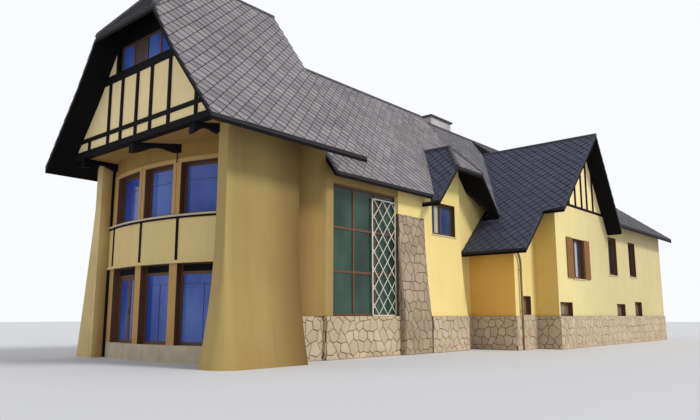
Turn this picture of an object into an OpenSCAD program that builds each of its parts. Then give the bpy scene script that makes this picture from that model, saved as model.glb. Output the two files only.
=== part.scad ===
// Half timbered house: a tall gabled front block with a bowed two-storey window front, a lower
// long range with a dormer, and a right wing with a cross gable. Lengths are in millimetres.

/* [Walls] */
// Thickness of the masonry walls
wall_t = 400; // [320:10:460]
// Height of the stone plinth round the long range
plinth_h = 1350; // [1200:10:1450]
// How far the plinth stands out from the plaster
plinth_step = 40; // [20:5:60]
// Depth from the wall face to a window frame
reveal = 160; // [100:5:200]

/* [Front block] */
// Overhang of the main gable's verge beyond the timbered wall
front_verge = 750; // [600:10:900]
// Thickness of the timbered gable wall
gable_wall_t = 250; // [200:10:300]
// Distance from the timbered wall back to the near wing wall's face
near_wing_back = 590; // [500:10:700]
// Length of the near wing wall
near_wing_l = 2690; // [2400:10:2900]
// Thickness of the near wing wall at its top
near_wing_t = 400; // [350:10:450]
// Distance from the timbered wall back to the far wing wall's face
far_wing_back = 930; // [800:10:1000]
// Thickness of the far wing wall at its top
far_wing_t = 350; // [320:10:380]
// Clear width between the two wing walls
front_w = 6900; // [6700:10:7000]
// Length of the wall that is set back behind the near wing wall
recess_l = 1590; // [1400:10:1700]
// How far the set-back wall leans in at its left end
recess_skew = 250; // [150:10:300]
// Height over which the near wing wall flares
flare_h = 4300; // [3800:10:4600]
// Radius of the near wing wall's front corner at its top
corner_r = 20; // [15:1:30]
// Radius of the near wing wall's front corner at the ground
corner_foot_r = 600; // [500:10:700]
// Outward flare of the near wing wall at the ground
near_flare = 450; // [350:10:500]
// Forward flare of the near wing wall at the ground
near_flare_front = 300; // [200:10:350]
// Height over which the far wing wall flares
far_flare_h = 5000; // [4600:50:5400]
// Outward flare of the far wing wall at the ground
far_flare = 680; // [600:10:740]

/* [Bow] */
// Outer radius of the bowed wall
bow_r = 9000; // [8600:10:9600]
// Thickness of the bowed wall
bow_t = 350; // [320:5:380]
// Distance from the timbered wall back to the bow's foremost point
bow_back = 1010; // [950:10:1100]
// How far the bow's foremost line lies beyond the middle between the wing walls
bow_shift = 880; // [840:10:920]
// Angle from that line back to the middle of the middle bay
bay_mid = 4.7; // [4.4:0.1:5]
// Angle between the middles of two bays
bay_pitch = 11.9; // [11.7:0.1:12.1]
// Width of the middle bay's opening
mid_bay_w = 1390; // [1320:10:1440]
// Width of the opening of a bay beside it
side_bay_w = 1700; // [1620:10:1760]
// Depth from the bow's face to its windows
bow_reveal = 240; // [200:5:250]
// Height of the threshold under the garden windows
threshold_h = 500; // [420:10:560]
// Height of the garden windows' heads
garden_head_z = 2900; // [2800:10:2920]
// Height of the bottom edge of the raised band between the storeys
band_z = 2950; // [2940:10:3050]
// Height of the top of the raised band
band_top_z = 4300; // [4200:10:4400]
// How far the raised band stands out
band_step = 60; // [40:5:80]
// Height of the upper windows' heads
upper_head_z = 5980; // [5800:10:6050]
// Thickness of the curved sill
sill_t = 55; // [40:5:80]
// Width of the raised surround of an upper window
surround_w = 130; // [110:5:150]
// Height of the panel over the glass of a garden window
transom_h = 300; // [250:10:350]

/* [Jetty and gable timbers] */
// Underside of the jettied gable
jetty_z = 6550; // [6450:10:6650]
// Height of the jetty beam
jetty_beam_h = 200; // [180:10:240]
// How far the jetty beam runs past the near wing wall's outer face
jetty_past = 800; // [700:10:850]
// Width of the studs and rails
timber_w = 130; // [100:5:150]
// How far timbers stand out from the panels
timber_step = 40; // [25:5:50]
// Height of the middle rail's axis
mid_rail_z = 7100; // [7050:10:7200]
// Height of the attic windows' sill
attic_sill_z = 9000; // [8920:10:9050]
// Height of the attic windows
attic_win_h = 880; // [800:10:900]
// Width of the row of attic windows
attic_row_w = 3000; // [2900:10:3050]
// Depth of a jetty bracket at the wall
bracket_h = 260; // [230:10:290]
// Width of a jetty bracket
bracket_w = 180; // [150:10:200]
// Turn of the middle and near brackets from square to the gable
bracket_turn = 39; // [35:1:43]

/* [Front roof] */
// Distance of the front ridge from the near wing wall's outer face
front_ridge_in = 3450; // [3400:10:3500]
// Overhang of the front roof's far eave beyond the far wing wall
front_over = 305; // [270:5:340]
// Height of the front roof's eaves
front_eave_z = 6220; // [6150:10:6300]
// Rise over run of the swept lower part
lower_slope = 1.22; // [1.15:0.01:1.3]
// Width of the swept lower part
lower_run = 1900; // [1700:10:2100]
// Rise over run of the steep upper part
upper_slope = 1.45; // [1.4:0.01:1.5]
// Height of the half hip's eave
half_hip_z = 9970; // [9900:10:10100]
// Rise over run of the half hip
half_hip_slope = 1.3; // [1.2:0.05:1.4]
// Overhang of the front roof at its rear end
front_rear_verge = 310; // [200:10:350]

/* [Roof build-up] */
// Depth of the tiled layer, measured plumb
tile_v = 70; // [60:5:80]
// Depth of the rafters and soffit boards, measured plumb
rafter_v = 100; // [90:5:120]
// Radius of the round tiles on the ridges
cap_r = 95; // [80:5:110]

/* [Long range] */
// Plaster between the front block and the tall stair window
stair_gap = 360; // [300:10:450]
// Width of the tall stair window
stair_w = 3500; // [3300:10:3600]
// Height of the stair window's head
stair_head_z = 5670; // [5500:10:5750]
// Width of the stone-clad pier
pier_w = 1660; // [1500:10:1800]
// Height of the stone cladding on the pier
pier_h = 5030; // [4800:10:5200]
// Width of the wall under the dormer
bay_wall_w = 2600; // [2500:10:2700]
// Forward batter of that wall and the pier at the plinth
batter = 270; // [200:10:300]
// Width of the set-back strip beside it
strip_w = 1140; // [1050:10:1250]
// Depth of the set-back strip
strip_back = 260; // [200:10:280]
// Depth of the house from the long front to the rear wall
range_d = 6900; // [6800:10:7000]
// Height of the long range's front eave
range_eave_z = 5920; // [5850:10:6000]
// Overhang of the eaves
eave_over = 400; // [350:10:450]
// Rise over run of the long roof
range_slope = 1.32; // [1.28:0.01:1.36]
// Height of the wing's ridge
wing_ridge_z = 10650; // [10500:10:10750]

/* [Dormer] */
// Middle of the dormer, measured from the left end of the wall under it
dormer_in = 2240; // [2150:10:2300]
// Half the width of the dormer over its eaves
dormer_half = 2350; // [2250:10:2400]
// Height of the dormer's eaves
dormer_eave_z = 5650; // [5600:10:5750]
// Rise over run of the dormer roof
dormer_slope = 1.15; // [1.1:0.01:1.2]
// Height of the dormer's half hip
dormer_hip_z = 7200; // [7100:10:7300]
// Overhang of the dormer's verge
dormer_verge = 800; // [700:10:850]

/* [Annex and right wing] */
// Width of the annex's front
annex_w = 1900; // [1800:10:2000]
// Depth of the annex in front of the long range
annex_d = 1800; // [1700:10:1900]
// Step from the annex forward to the wing
wing_step = 1000; // [900:10:1100]
// Length of the wing's front wall
wing_l = 15000; // [14600:100:15400]
// Overhang of the roof at the wing's end
wing_verge = 500; // [400:10:600]
// How far the wing's roof starts before the wing's left end
wing_side_over = 480; // [460:10:500]
// Height of the wing's eave
wing_eave_z = 5820; // [5750:10:5900]
// Overhang of the wing's eave
wing_over = 600; // [550:10:650]

/* [Cross gable] */
// Overhang of the cross gable's verge
cross_verge = 700; // [680:10:750]
// Distance of the cross gable's ridge from the wing's left end
cross_in = 3600; // [3500:10:3700]
// Height of the cross gable's ridge
cross_ridge_z = 9720; // [9600:10:9800]
// Rise over run of its left side
cross_left_slope = 0.94; // [0.92:0.01:0.96]
// Rise over run of its right side
cross_right_slope = 1.57; // [1.52:0.01:1.62]
// Width of its right side
cross_right_run = 2700; // [2650:10:2750]
// Width of its left side down to the upper eave
cross_left_run = 4250; // [4150:10:4350]
// Width of its left side down to the low eave over the annex
catslide_run = 6120; // [6000:10:6200]
// Distance of the low eave's front end behind the verge
catslide_back = 860; // [800:10:950]
// Height of the rail under the cross gable's timbers
cross_rail_z = 6150; // [6100:10:6250]

/* [Floors] */
// Top of the ground floor in the range and the wing
ground_floor_t = 150; // [100:10:200]
// Top of the front block's upper floor
front_floor_z = 3450; // [3350:10:3600]
// Top of the upper floor in the range and the wing
range_floor_z = 2600; // [2500:10:2700]
// Underside of the loft floor in the range and the wing
loft_z = 5350; // [5300:10:5400]
// Thickness of a floor
floor_t = 200; // [180:10:240]

/* [Joinery] */
// Width of the window frames' members
frame_w = 80; // [60:5:90]
// Depth of the window frames
frame_d = 80; // [60:5:90]
// Thickness of the glass
glass_t = 24; // [16:2:30]
// Gap between pieces that are set against each other
fit_gap = 0.3; // [0.2:0.1:0.5]
// Gap round a moving leaf
leaf_gap = 6; // [5:1:8]
// Thickness of a door leaf
leaf_t = 60; // [50:5:70]
// Width of a door leaf's stiles and rails
stile_w = 90; // [70:5:110]
// Thickness of a shutter
shutter_t = 35; // [30:5:45]
// Gap between an open shutter and the wall
shutter_gap = 15; // [10:5:25]
// Radius of the hinge pins
pin_r = 6; // [5:0.5:7]
// Running clearance round a hinge pin
pin_clear = 0.3; // [0.2:0.05:0.4]
// Height of a hinge knuckle
knuckle_h = 60; // [50:5:80]

/* [Chimney] */
// Distance of the chimney from the wing's left end
chimney_in = -100; // [-200:10:0]
// Length of the chimney along the ridge
chimney_l = 1800; // [1600:10:2000]
// Width of the chimney across the ridge
chimney_w = 700; // [600:10:800]
// Height of the chimney with its cap over the wing's ridge
chimney_h = 600; // [500:10:700]
// Thickness of the chimney cap
cap_t = 90; // [70:10:120]

/* [Hidden] */

$fn = 64;
// How far the bow's curve is drawn to either side of its foremost line, in degrees
bow_half = 45;
eps = 1;
far = 60000;
roof_v = tile_v + rafter_v;
// How far the space under a roof reaches below the ground
floor_z = -1000;
// Where walls and floors end under a roof
wall_top = roof_v + fit_gap;
// How far an envelope's sides are pushed out, for roof layers and for walls
roof_reach = 1000;
wall_reach = 500;
// How far a cut for an opening starts in front of its wall, and how far it runs
cut_out = 500;
cut_l = 2 * cut_out + wall_t;

// Stations along the long side, from the main gable's verge
gable_x = front_verge;
near_wing_x = gable_x + near_wing_back;
far_wing_x = gable_x + far_wing_back;
recess_x = near_wing_x + near_wing_l;
range_x = recess_x + recess_l;
stair_x = range_x + stair_gap;
pier_x = stair_x + stair_w;
bay_x = pier_x + pier_w;
strip_x = bay_x + bay_wall_w;
annex_x = strip_x + strip_w;
wing_x = annex_x + annex_w;
wing_end = wing_x + wing_l;
house_l = wing_end + wing_verge;

// Stations across the house, from the cross gable's verge
wing_y = cross_verge;
annex_y = wing_y + wing_step;
range_y = annex_y + annex_d;
rear_y = range_y + range_d;
near_wing_y = range_y - near_wing_t;
far_wing_y = range_y + front_w;
house_d = far_wing_y + far_wing_t + far_flare;

// Main gable
front_y = near_wing_y + front_ridge_in;
front_half = far_wing_y + far_wing_t + front_over - front_y;
break_z = front_eave_z + lower_run * lower_slope;
front_ridge_z = break_z + (front_half - lower_run) * upper_slope;
half_hip_run = (front_ridge_z - half_hip_z) / half_hip_slope;
front_roof_end = range_x + front_rear_verge;

// Bow
bow_x = gable_x + bow_back + bow_r;
bow_y = range_y + front_w / 2 + bow_shift;

// Long roof and wing roof
eave_y = range_y - eave_over;
rear_eave_y = rear_y + eave_over;
range_ridge_y = (eave_y + rear_eave_y) / 2;
range_ridge_z = range_eave_z + (range_ridge_y - eave_y) * range_slope;
wing_ridge_y = eave_y + (wing_ridge_z - range_eave_z) / range_slope;
wing_roof_x = wing_x - wing_side_over;
hip_run = (range_ridge_z - wing_ridge_z) / 1.2;
wing_eave_y = wing_y - wing_over;

// Dormer and cross gable
dormer_x = bay_x + dormer_in;
dormer_ridge_z = dormer_eave_z + dormer_half * dormer_slope;
dormer_y = range_y - dormer_verge;
cross_x = wing_x + cross_in;

// A box between two corners
module box(lo, hi) {
    translate(lo) cube(hi - lo);
}

// Carries a (y, z) outline along X
module along_x(x0, x1) {
    translate([x0, 0, 0]) rotate([90, 0, 90]) linear_extrude(x1 - x0) children();
}

// Carries an (x, z) outline along Y
module along_y(y0, y1) {
    translate([0, y1, 0]) rotate([90, 0, 0]) linear_extrude(y1 - y0) children();
}

// Moves the house so that its origin is under its middle
module house() {
    translate([-house_l / 2, -house_d / 2, 0]) children();
}

// Sweep of a flared wall from the ground up: full at the ground, nothing at the height h
near_bend = 2.2;
far_bend = 1.1;
flare_steps = 8;
function flare_line(base, amount, top, h = flare_h, bend = near_bend) = concat(
    [for (i = [0 : flare_steps]) let (t = i / flare_steps) [base + amount * pow(1 - t, bend), h * t]],
    [[base, top]]);
function back_up(points) = [for (i = [len(points) - 1 : -1 : 0]) points[i]];

// Roof envelopes: the space under a roof, lowered by drop. Open pushes the sides out,
// so that an envelope taken away from another leaves the eaves and verges open.
module front_env(drop, open) {
    intersection() {
        along_x(-open - eps, front_roof_end + open) polygon([
            [front_y - front_half - open, floor_z],
            [front_y - front_half - open, front_eave_z - open * lower_slope - drop],
            [front_y - front_half + lower_run, break_z - drop],
            [front_y, front_ridge_z - drop],
            [front_y + front_half - lower_run, break_z - drop],
            [front_y + front_half + open, front_eave_z - open * lower_slope - drop],
            [front_y + front_half + open, floor_z]]);
        along_y(-far, far) polygon([
            [-open, floor_z], [-open, half_hip_z - open * half_hip_slope - drop],
            [half_hip_run, front_ridge_z - drop], [front_roof_end + open, front_ridge_z - drop],
            [front_roof_end + open, floor_z]]);
    }
}

module range_env(drop, open) {
    rise = open * range_slope;
    intersection() {
        along_x(range_x - open, wing_roof_x + open) polygon([
            [eave_y - open, -rise], [eave_y - open, range_eave_z - rise - drop],
            [range_ridge_y, range_ridge_z - drop],
            [rear_eave_y + open, range_eave_z - rise - drop], [rear_eave_y + open, -rise]]);
        along_y(-far, far) polygon([
            [range_x - open, -far], [range_x - open, range_ridge_z - drop],
            [wing_roof_x - hip_run, range_ridge_z - drop], [wing_roof_x, wing_ridge_z - drop],
            [wing_roof_x + open, wing_ridge_z - drop], [wing_roof_x + open, -far]]);
    }
}

module wing_env(drop, open) {
    left_rise = open * range_slope;
    wing_slope = (wing_ridge_z - wing_eave_z) / (wing_ridge_y - wing_eave_y);
    rear_slope = (wing_ridge_z - range_eave_z) / (rear_eave_y - wing_ridge_y);
    along_x(wing_roof_x - open, house_l + open) polygon([
        [eave_y - open, -left_rise], [eave_y - open, range_eave_z - left_rise - drop],
        [wing_ridge_y, wing_ridge_z - drop],
        [rear_eave_y + open, range_eave_z - open * rear_slope - drop],
        [rear_eave_y + open, -left_rise]]);
    along_x(cross_x + drop, house_l + open) polygon([
        [wing_eave_y - open, -left_rise],
        [wing_eave_y - open, wing_eave_z - open * wing_slope - drop],
        [wing_ridge_y, wing_ridge_z - drop], [wing_ridge_y, -left_rise]]);
}

module dormer_env(drop, open) {
    rise = open * dormer_slope;
    intersection() {
        along_y(dormer_y - open - eps, wing_ridge_y) polygon([
            [dormer_x - dormer_half - open, 0],
            [dormer_x - dormer_half - open, dormer_eave_z - rise - drop],
            [dormer_x, dormer_ridge_z - drop],
            [dormer_x + dormer_half + open, dormer_eave_z - rise - drop],
            [dormer_x + dormer_half + open, 0]]);
        along_x(-far, far) polygon([
            [dormer_y - open, 0], [dormer_y - open, dormer_hip_z - rise - drop],
            [dormer_y + (dormer_ridge_z - dormer_hip_z) / dormer_slope, dormer_ridge_z - drop],
            [wing_ridge_y, dormer_ridge_z - drop], [wing_ridge_y, 0]]);
    }
}

// One stretch of the cross gable, from y0 to y1, with its left side left_run wide
module cross_stretch(y0, y1, left_run, drop, open) {
    run = left_run + open;
    right = cross_right_run + open;
    along_y(y0, y1) polygon([
        [cross_x - run, -far], [cross_x - run, cross_ridge_z - run * cross_left_slope - drop],
        [cross_x, cross_ridge_z - drop],
        [cross_x + right, cross_ridge_z - right * cross_right_slope - drop],
        [cross_x + right, -far]]);
}

module cross_env(drop, open) {
    intersection() {
        union() {
            cross_stretch(-open, wing_ridge_y, cross_left_run, drop, open);
            cross_stretch(catslide_back - open, range_y + strip_back, catslide_run, drop, open);
        }
        box([0, -far, floor_z], [far, far, far]);
    }
}

// The part of a roof envelope that is at or above the eaves
module above_eaves() {
    intersection() {
        children();
        box([-far, -far, range_eave_z - roof_v - 100], [far, far, far]);
    }
}

// One layer of each roof, between two depths under its surface
module front_layer(top, bottom) {
    difference() {
        front_env(top, 0);
        front_env(bottom, roof_reach);
    }
}

module range_layer(top, bottom) {
    difference() {
        range_env(top, 0);
        range_env(bottom, roof_reach);
        dormer_env(roof_v, 0);
    }
}

module wing_layer(top, bottom) {
    difference() {
        wing_env(top, 0);
        wing_env(bottom, roof_reach);
        cross_env(roof_v, 0);
    }
}

module dormer_layer(top, bottom) {
    difference() {
        dormer_env(top, 0);
        dormer_env(bottom, roof_reach);
        above_eaves() range_env(0, 0);
        cross_env(0, 0);
        box([0, range_y, 0], [far, far, range_eave_z]);
    }
}

module cross_layer(top, bottom) {
    difference() {
        cross_env(top, 0);
        cross_env(bottom, roof_reach);
        above_eaves() range_env(0, 0);
        wing_env(0, 0);
        box([0, range_y + strip_back, 0], [far, far, range_eave_z]);
    }
}

module front_roof() {
    color("dimgray") house() front_layer(0, tile_v - fit_gap);
}

module range_roof() {
    color("dimgray") house() range_layer(0, tile_v - fit_gap);
}

module wing_roof() {
    color("dimgray") house() wing_layer(0, tile_v - fit_gap);
}

module dormer_roof() {
    color("slategray") house() dormer_layer(0, tile_v - fit_gap);
}

module cross_gable_roof() {
    color("slategray") house() cross_layer(0, tile_v - fit_gap);
}

// Round tiles along a ridge or a hip, between two points
module cap_line(p, q) {
    d = q - p;
    translate(p) rotate([0, acos(d[2] / norm(d)), atan2(d[1], d[0])])
        cylinder(r = cap_r, h = norm(d));
}

// Round tiles along a hip, which end a little short of those on the ridge
module hip_line(foot, top) {
    cap_line(foot, top - (top - foot) * 2 * cap_r / norm(top - foot));
}

module ridge_caps() {
    hip_out = (front_ridge_z - half_hip_z) / upper_slope;
    dormer_hip_run = (dormer_ridge_z - dormer_hip_z) / dormer_slope;
    dormer_hip_out = (dormer_ridge_z - dormer_hip_z) / dormer_slope;
    front_top = [half_hip_run, front_y, front_ridge_z];
    dormer_top = [dormer_x, dormer_y + dormer_hip_run, dormer_ridge_z];
    color("dimgray") house() difference() {
        intersection() {
            union() {
                cap_line(front_top, [front_roof_end, front_y, front_ridge_z]);
                cap_line([range_x, range_ridge_y, range_ridge_z],
                    [wing_roof_x - hip_run, range_ridge_y, range_ridge_z]);
                cap_line([wing_roof_x, wing_ridge_y, wing_ridge_z],
                    [house_l, wing_ridge_y, wing_ridge_z]);
                cap_line(dormer_top, [dormer_x, wing_ridge_y, dormer_ridge_z]);
                cap_line([cross_x, 0, cross_ridge_z], [cross_x, wing_ridge_y, cross_ridge_z]);
                for (side = [-1, 1]) {
                    hip_line([0, front_y + side * hip_out, half_hip_z], front_top);
                    hip_line([dormer_x + side * dormer_hip_out, dormer_y, dormer_hip_z],
                        dormer_top);
                }
            }
            box([0, 0, 0], [house_l, house_d, far]);
        }
        front_env(-fit_gap, 0);
        range_env(-fit_gap, 0);
        wing_env(-fit_gap, 0);
        dormer_env(-fit_gap, 0);
        cross_env(-fit_gap, 0);
        chimney_space(fit_gap);
    }
}

module soffits() {
    color([0.08, 0.07, 0.08]) house() {
        front_layer(tile_v, roof_v);
        range_layer(tile_v, roof_v);
        wing_layer(tile_v, roof_v);
        dormer_layer(tile_v, roof_v);
        cross_layer(tile_v, roof_v);
    }
}

// Plan of the near wing wall at t times the height of its flare, with a round front corner
corner_steps = 8;
function near_plan(t) = let (
    flare = pow(1 - t, near_bend),
    r = corner_r + (corner_foot_r - corner_r) * flare,
    x = near_wing_x - near_flare_front * flare,
    y = near_wing_y - near_flare * flare,
    inner = range_y + near_flare / 3 * flare) concat(
    [[recess_x, inner], [x, inner]],
    [for (i = [0 : corner_steps]) let (a = 90 * i / corner_steps)
        [x + r * (1 - cos(a)), y + r * (1 - sin(a))]],
    [[recess_x, y]]);

// Wing walls that hold the bow, flared like a ship's side
module near_wing_wall() {
    n = len(near_plan(0));
    last = flare_steps + 1;
    points = [for (k = [0 : last]) let (t = min(k / flare_steps, 1))
        for (p = near_plan(t)) [p[0], p[1], k < last ? flare_h * t : front_ridge_z]];
    sides = [for (k = [0 : last - 1], j = [0 : n - 1]) let (m = (j + 1) % n, up = k * n + n)
        each [[k * n + j, up + j, up + m], [k * n + j, up + m, k * n + m]]];
    foot = [for (j = [0 : n - 1]) j];
    top = [for (j = [n - 1 : -1 : 0]) last * n + j];
    color([0.72, 0.62, 0.38]) house() intersection() {
        polyhedron(points, concat([foot, top], sides));
        front_env(wall_top, 0);
    }
}

module far_wing_wall() {
    top = front_ridge_z;
    color([0.72, 0.62, 0.38]) house() intersection() {
        along_x(far_wing_x, range_x) polygon(concat(
            [[far_wing_y, 0]],
            flare_line(far_wing_y + far_wing_t, far_flare, top, far_flare_h, far_bend),
            [[far_wing_y, top]]));
        front_env(wall_top, wall_reach);
    }
}

module recess_wall() {
    color([0.74, 0.58, 0.32]) house() intersection() {
        linear_extrude(front_ridge_z) polygon([
            [recess_x, range_y + recess_skew], [range_x, range_y],
            [range_x, range_y + wall_t], [recess_x, range_y + wall_t]]);
        box([0, 0, plinth_h], [far, far, far]);
        front_env(wall_top, 0);
    }
}

// The space within the bow's curve, between two heights. The curve has a point at every
// degree, the first of them on the foremost line.
module bow_disc(r, z0, z1) {
    translate([bow_x, bow_y, z0]) linear_extrude(z1 - z0) polygon(concat([[0, 0]],
        [for (a = [-bow_half : bow_half]) [-r * cos(a), -r * sin(a)]]));
}

// A curved wall between two radii and two heights, between the wing walls
module bow_ring(r0, r1, z0, z1) {
    intersection() {
        difference() {
            bow_disc(r1, z0, z1);
            bow_disc(r0, z0 - eps, z1 + eps);
        }
        box([0, range_y, 0], [range_x, far_wing_y, far]);
    }
}

// Places a piece in a bay: x runs along the wall, y runs into the house
module at_bay(i, r) {
    translate([bow_x, bow_y, 0]) rotate([0, 0, bay_mid - i * bay_pitch]) translate([-r, 0, 0])
        rotate([0, 0, -90]) children();
}

function bay_w(i) = i == 0 ? mid_bay_w : side_bay_w;

module bay_cuts() {
    for (i = [-1 : 1]) at_bay(i, bow_r)
        box([-bay_w(i) / 2, -cut_out, 0], [bay_w(i) / 2, bow_t + cut_out, far]);
}

bow_in = bow_r - bow_t;

module bow_threshold() {
    color([0.6, 0.55, 0.48]) house() difference() {
        bow_ring(bow_in, bow_r, 0, threshold_h);
        near_wing_flare();
    }
}

module bow_lower_piers() {
    color([0.72, 0.62, 0.38]) house() difference() {
        bow_ring(bow_in, bow_r, threshold_h, garden_head_z);
        bay_cuts();
        near_wing_flare();
    }
}

// The inward flare of the near wing wall, which the bow is cut back from
module near_wing_flare() {
    along_x(0, recess_x) polygon(concat(
        [[near_wing_y, 0]], flare_line(range_y, near_flare / 3, front_ridge_z),
        [[near_wing_y, front_ridge_z]]));
}

module bow_band() {
    color([0.8, 0.74, 0.5]) house() difference() {
        union() {
            bow_ring(bow_in, bow_r, garden_head_z, band_z);
            bow_ring(bow_in, bow_r + band_step, band_z, band_top_z);
            bow_ring(bow_r, bow_r + band_step + mould_out, garden_head_z, band_z + mould_out);
        }
        near_wing_flare();
    }
}

rail_h = 60;
dark_strip_w = 85;
strip_out = 30;
// Size of the moulding along the foot of the raised band
mould_out = 35;
// Width of the dark post in the corner between the bow and the far wing wall
post_w = 85;

// Dark timbers on the bow: a rail under the sill, a strip at each bay's far side, and a post
// in the corner, below the band and above the sill
module band_timbers() {
    r = bow_r + band_step + fit_gap;
    color([0.13, 0.11, 0.1]) house() {
        difference() {
            union() {
                bow_ring(r, r + strip_out, band_top_z - rail_h, band_top_z);
                intersection() {
                    bow_ring(r, r + strip_out, band_z + mould_out + fit_gap, band_top_z);
                    for (i = [-1 : 1]) at_bay(i, r)
                        box([(-bay_w(i) - dark_strip_w) / 2, -cut_out, 0],
                            [(-bay_w(i) + dark_strip_w) / 2, cut_out, far]);
                }
            }
            near_wing_flare();
        }
        corner_post(0, garden_head_z - fit_gap);
        corner_post(upper_win_z + fit_gap, jetty_z - fit_gap);
    }
}

module corner_post(z0, z1) {
    corner_x = bow_x - sqrt(pow(bow_r, 2) - pow(far_wing_y - bow_y, 2));
    difference() {
        box([corner_x - post_w, far_wing_y - post_w, z0],
            [corner_x + post_w / 2, far_wing_y - fit_gap, z1]);
        bow_disc(bow_r + fit_gap, -eps, far);
    }
}

module bow_sill() {
    color([0.85, 0.82, 0.72]) house() difference() {
        bow_ring(bow_in, bow_r + band_step + strip_out + 20, band_top_z, band_top_z + sill_t);
        near_wing_flare();
    }
}

// Raised surrounds of the upper windows, between two heights
module surrounds(z0, z1) {
    intersection() {
        bow_ring(bow_in, bow_r + surround_out, z0, z1);
        for (i = [-1 : 1]) at_bay(i, bow_r)
            box([-bay_w(i) / 2 - surround_w, -cut_out, 0],
                [bay_w(i) / 2 + surround_w, bow_t, far]);
    }
}

surround_out = 18;

module bow_upper_piers() {
    color([0.76, 0.62, 0.36]) house() difference() {
        union() {
            bow_ring(bow_in, bow_r, upper_win_z, upper_head_z);
            surrounds(upper_win_z, upper_head_z);
        }
        bay_cuts();
    }
}

module bow_head() {
    color([0.76, 0.62, 0.36]) house() {
        bow_ring(bow_in, bow_r, upper_head_z, jetty_z);
        surrounds(upper_head_z, upper_head_z + surround_w);
    }
}

// The block that a frame for an opening of w by h is cut from
module frame_block(w, h, d) {
    translate([fit_gap, 0, fit_gap]) cube([w - 2 * fit_gap, d, h - 2 * fit_gap]);
}

// A frame for an opening of w by h with its lower left outer corner at the origin, split in
// n lights
module window_frame(w, h, n, d = frame_d, bar = frame_w) {
    light = (w - bar * (n + 1)) / n;
    difference() {
        frame_block(w, h, d);
        for (i = [0 : n - 1]) translate([bar + i * (light + bar), -1, bar])
            cube([light, d + 2, h - 2 * bar]);
    }
}

module window_glass(w, h, n, d = frame_d, bar = frame_w) {
    light = (w - bar * (n + 1)) / n;
    for (i = [0 : n - 1]) translate([bar + i * (light + bar), (d - glass_t) / 2, bar])
        frame_block(light, h - 2 * bar, glass_t);
}

garden_h = garden_head_z - threshold_h;

// The frame of a garden window: a panel over an opening that starts at the height foot
module garden_frame(i, foot) {
    at_bay(i, bow_r - bow_reveal) translate([-bay_w(i) / 2, 0, threshold_h]) difference() {
        frame_block(bay_w(i), garden_h, frame_d);
        translate([frame_w, -1, foot])
            cube([bay_w(i) - 2 * frame_w, frame_d + 2, garden_h - transom_h - foot]);
    }
}

module garden_window_frames() {
    color([0.36, 0.24, 0.16]) house() {
        for (i = [-1, 0]) garden_frame(i, frame_w);
        garden_frame(1, -1);
    }
}

module garden_window_glass() {
    color([0.3, 0.4, 0.7, 0.6]) house() for (i = [-1, 0]) at_bay(i, bow_r - bow_reveal)
        translate([-bay_w(i) / 2, 0, threshold_h])
            window_glass(bay_w(i), garden_h - transom_h + frame_w, 1);
}

leaf_w = (side_bay_w - 2 * frame_w - 3 * leaf_gap) / 2;
leaf_h = garden_h - transom_h - 2 * leaf_gap - 4;
leaf_z = threshold_h + leaf_gap + 4;

// Places a leaf: side is -1 for the leaf on the left, 1 for the one on the right
module at_leaf(side) {
    at_bay(1, bow_r - bow_reveal) translate([
        side < 0 ? -side_bay_w / 2 + frame_w + leaf_gap : leaf_gap / 2,
        frame_d - leaf_t, leaf_z]) children();
}

// Heights of the hinges on a door leaf, from its lower edge
hinge_at = [250, leaf_h / 2, leaf_h - 250];
knuckle_r = pin_r + 5;
hinge_plate_w = 45;
hinge_plate_t = 4;
// How far a moving hinge plate is let into its leaf
plate_in = 2;
hinge_out = knuckle_r + 2;

// Hinge axis of a leaf: at its outer edge, in front of its inner face
module at_hinge(side) {
    at_leaf(side) translate([side < 0 ? 0 : leaf_w, leaf_t + hinge_out, 0])
        mirror([side < 0 ? 0 : 1, 0, 0]) children();
}

// The moving half of a hinge, on a leaf that lies towards +x: a bored knuckle on a plate
module hinge_moving(z) {
    difference() {
        translate([0, 0, z - knuckle_h / 2]) {
            cylinder(r = knuckle_r, h = knuckle_h);
            translate([0, -hinge_out - plate_in, 0])
                cube([hinge_plate_w, hinge_plate_t + plate_in, knuckle_h]);
        }
        translate([0, 0, z - knuckle_h]) cylinder(r = pin_r + pin_clear, h = 2 * knuckle_h);
    }
}

// The fixed half: a knuckle above and below with the pin, on a plate on the frame
module hinge_fixed(z) {
    half = knuckle_h / 2;
    translate([0, 0, z - 2 * half]) cylinder(r = pin_r, h = 4 * half);
    for (z0 = [z - 2 * half, z + half + pin_clear]) translate([0, 0, z0]) {
        cylinder(r = knuckle_r, h = half - pin_clear);
        translate([-hinge_plate_w, -hinge_out, 0])
            cube([hinge_plate_w - leaf_gap, hinge_plate_t, half - pin_clear]);
        translate([-knuckle_r, -hinge_out, 0]) cube([knuckle_r, knuckle_r, half - pin_clear]);
    }
}

module door_leaf(side) {
    at_leaf(side) window_frame(leaf_w, leaf_h, 1, leaf_t, stile_w);
    at_hinge(side) for (z = hinge_at) hinge_moving(z);
}

module door_leaf_near() {
    color([0.36, 0.24, 0.16]) house() door_leaf(1);
}

module door_leaf_far() {
    color([0.36, 0.24, 0.16]) house() door_leaf(-1);
}

module door_hinges() {
    color([0.3, 0.27, 0.24]) house() for (side = [-1, 1]) at_hinge(side)
        for (z = hinge_at) hinge_fixed(z);
}

module door_glass_near() {
    color([0.3, 0.4, 0.7, 0.6]) house() at_leaf(1)
        window_glass(leaf_w, leaf_h, 1, leaf_t, stile_w);
}

module door_glass_far() {
    color([0.3, 0.4, 0.7, 0.6]) house() at_leaf(-1)
        window_glass(leaf_w, leaf_h, 1, leaf_t, stile_w);
}

upper_win_z = band_top_z + sill_t;
upper_win_h = upper_head_z - upper_win_z;

module upper_window_frames() {
    color([0.36, 0.24, 0.16]) house() for (i = [-1 : 1]) at_bay(i, bow_r - bow_reveal)
        translate([-bay_w(i) / 2, 0, upper_win_z]) window_frame(bay_w(i), upper_win_h, 1);
}

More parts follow.
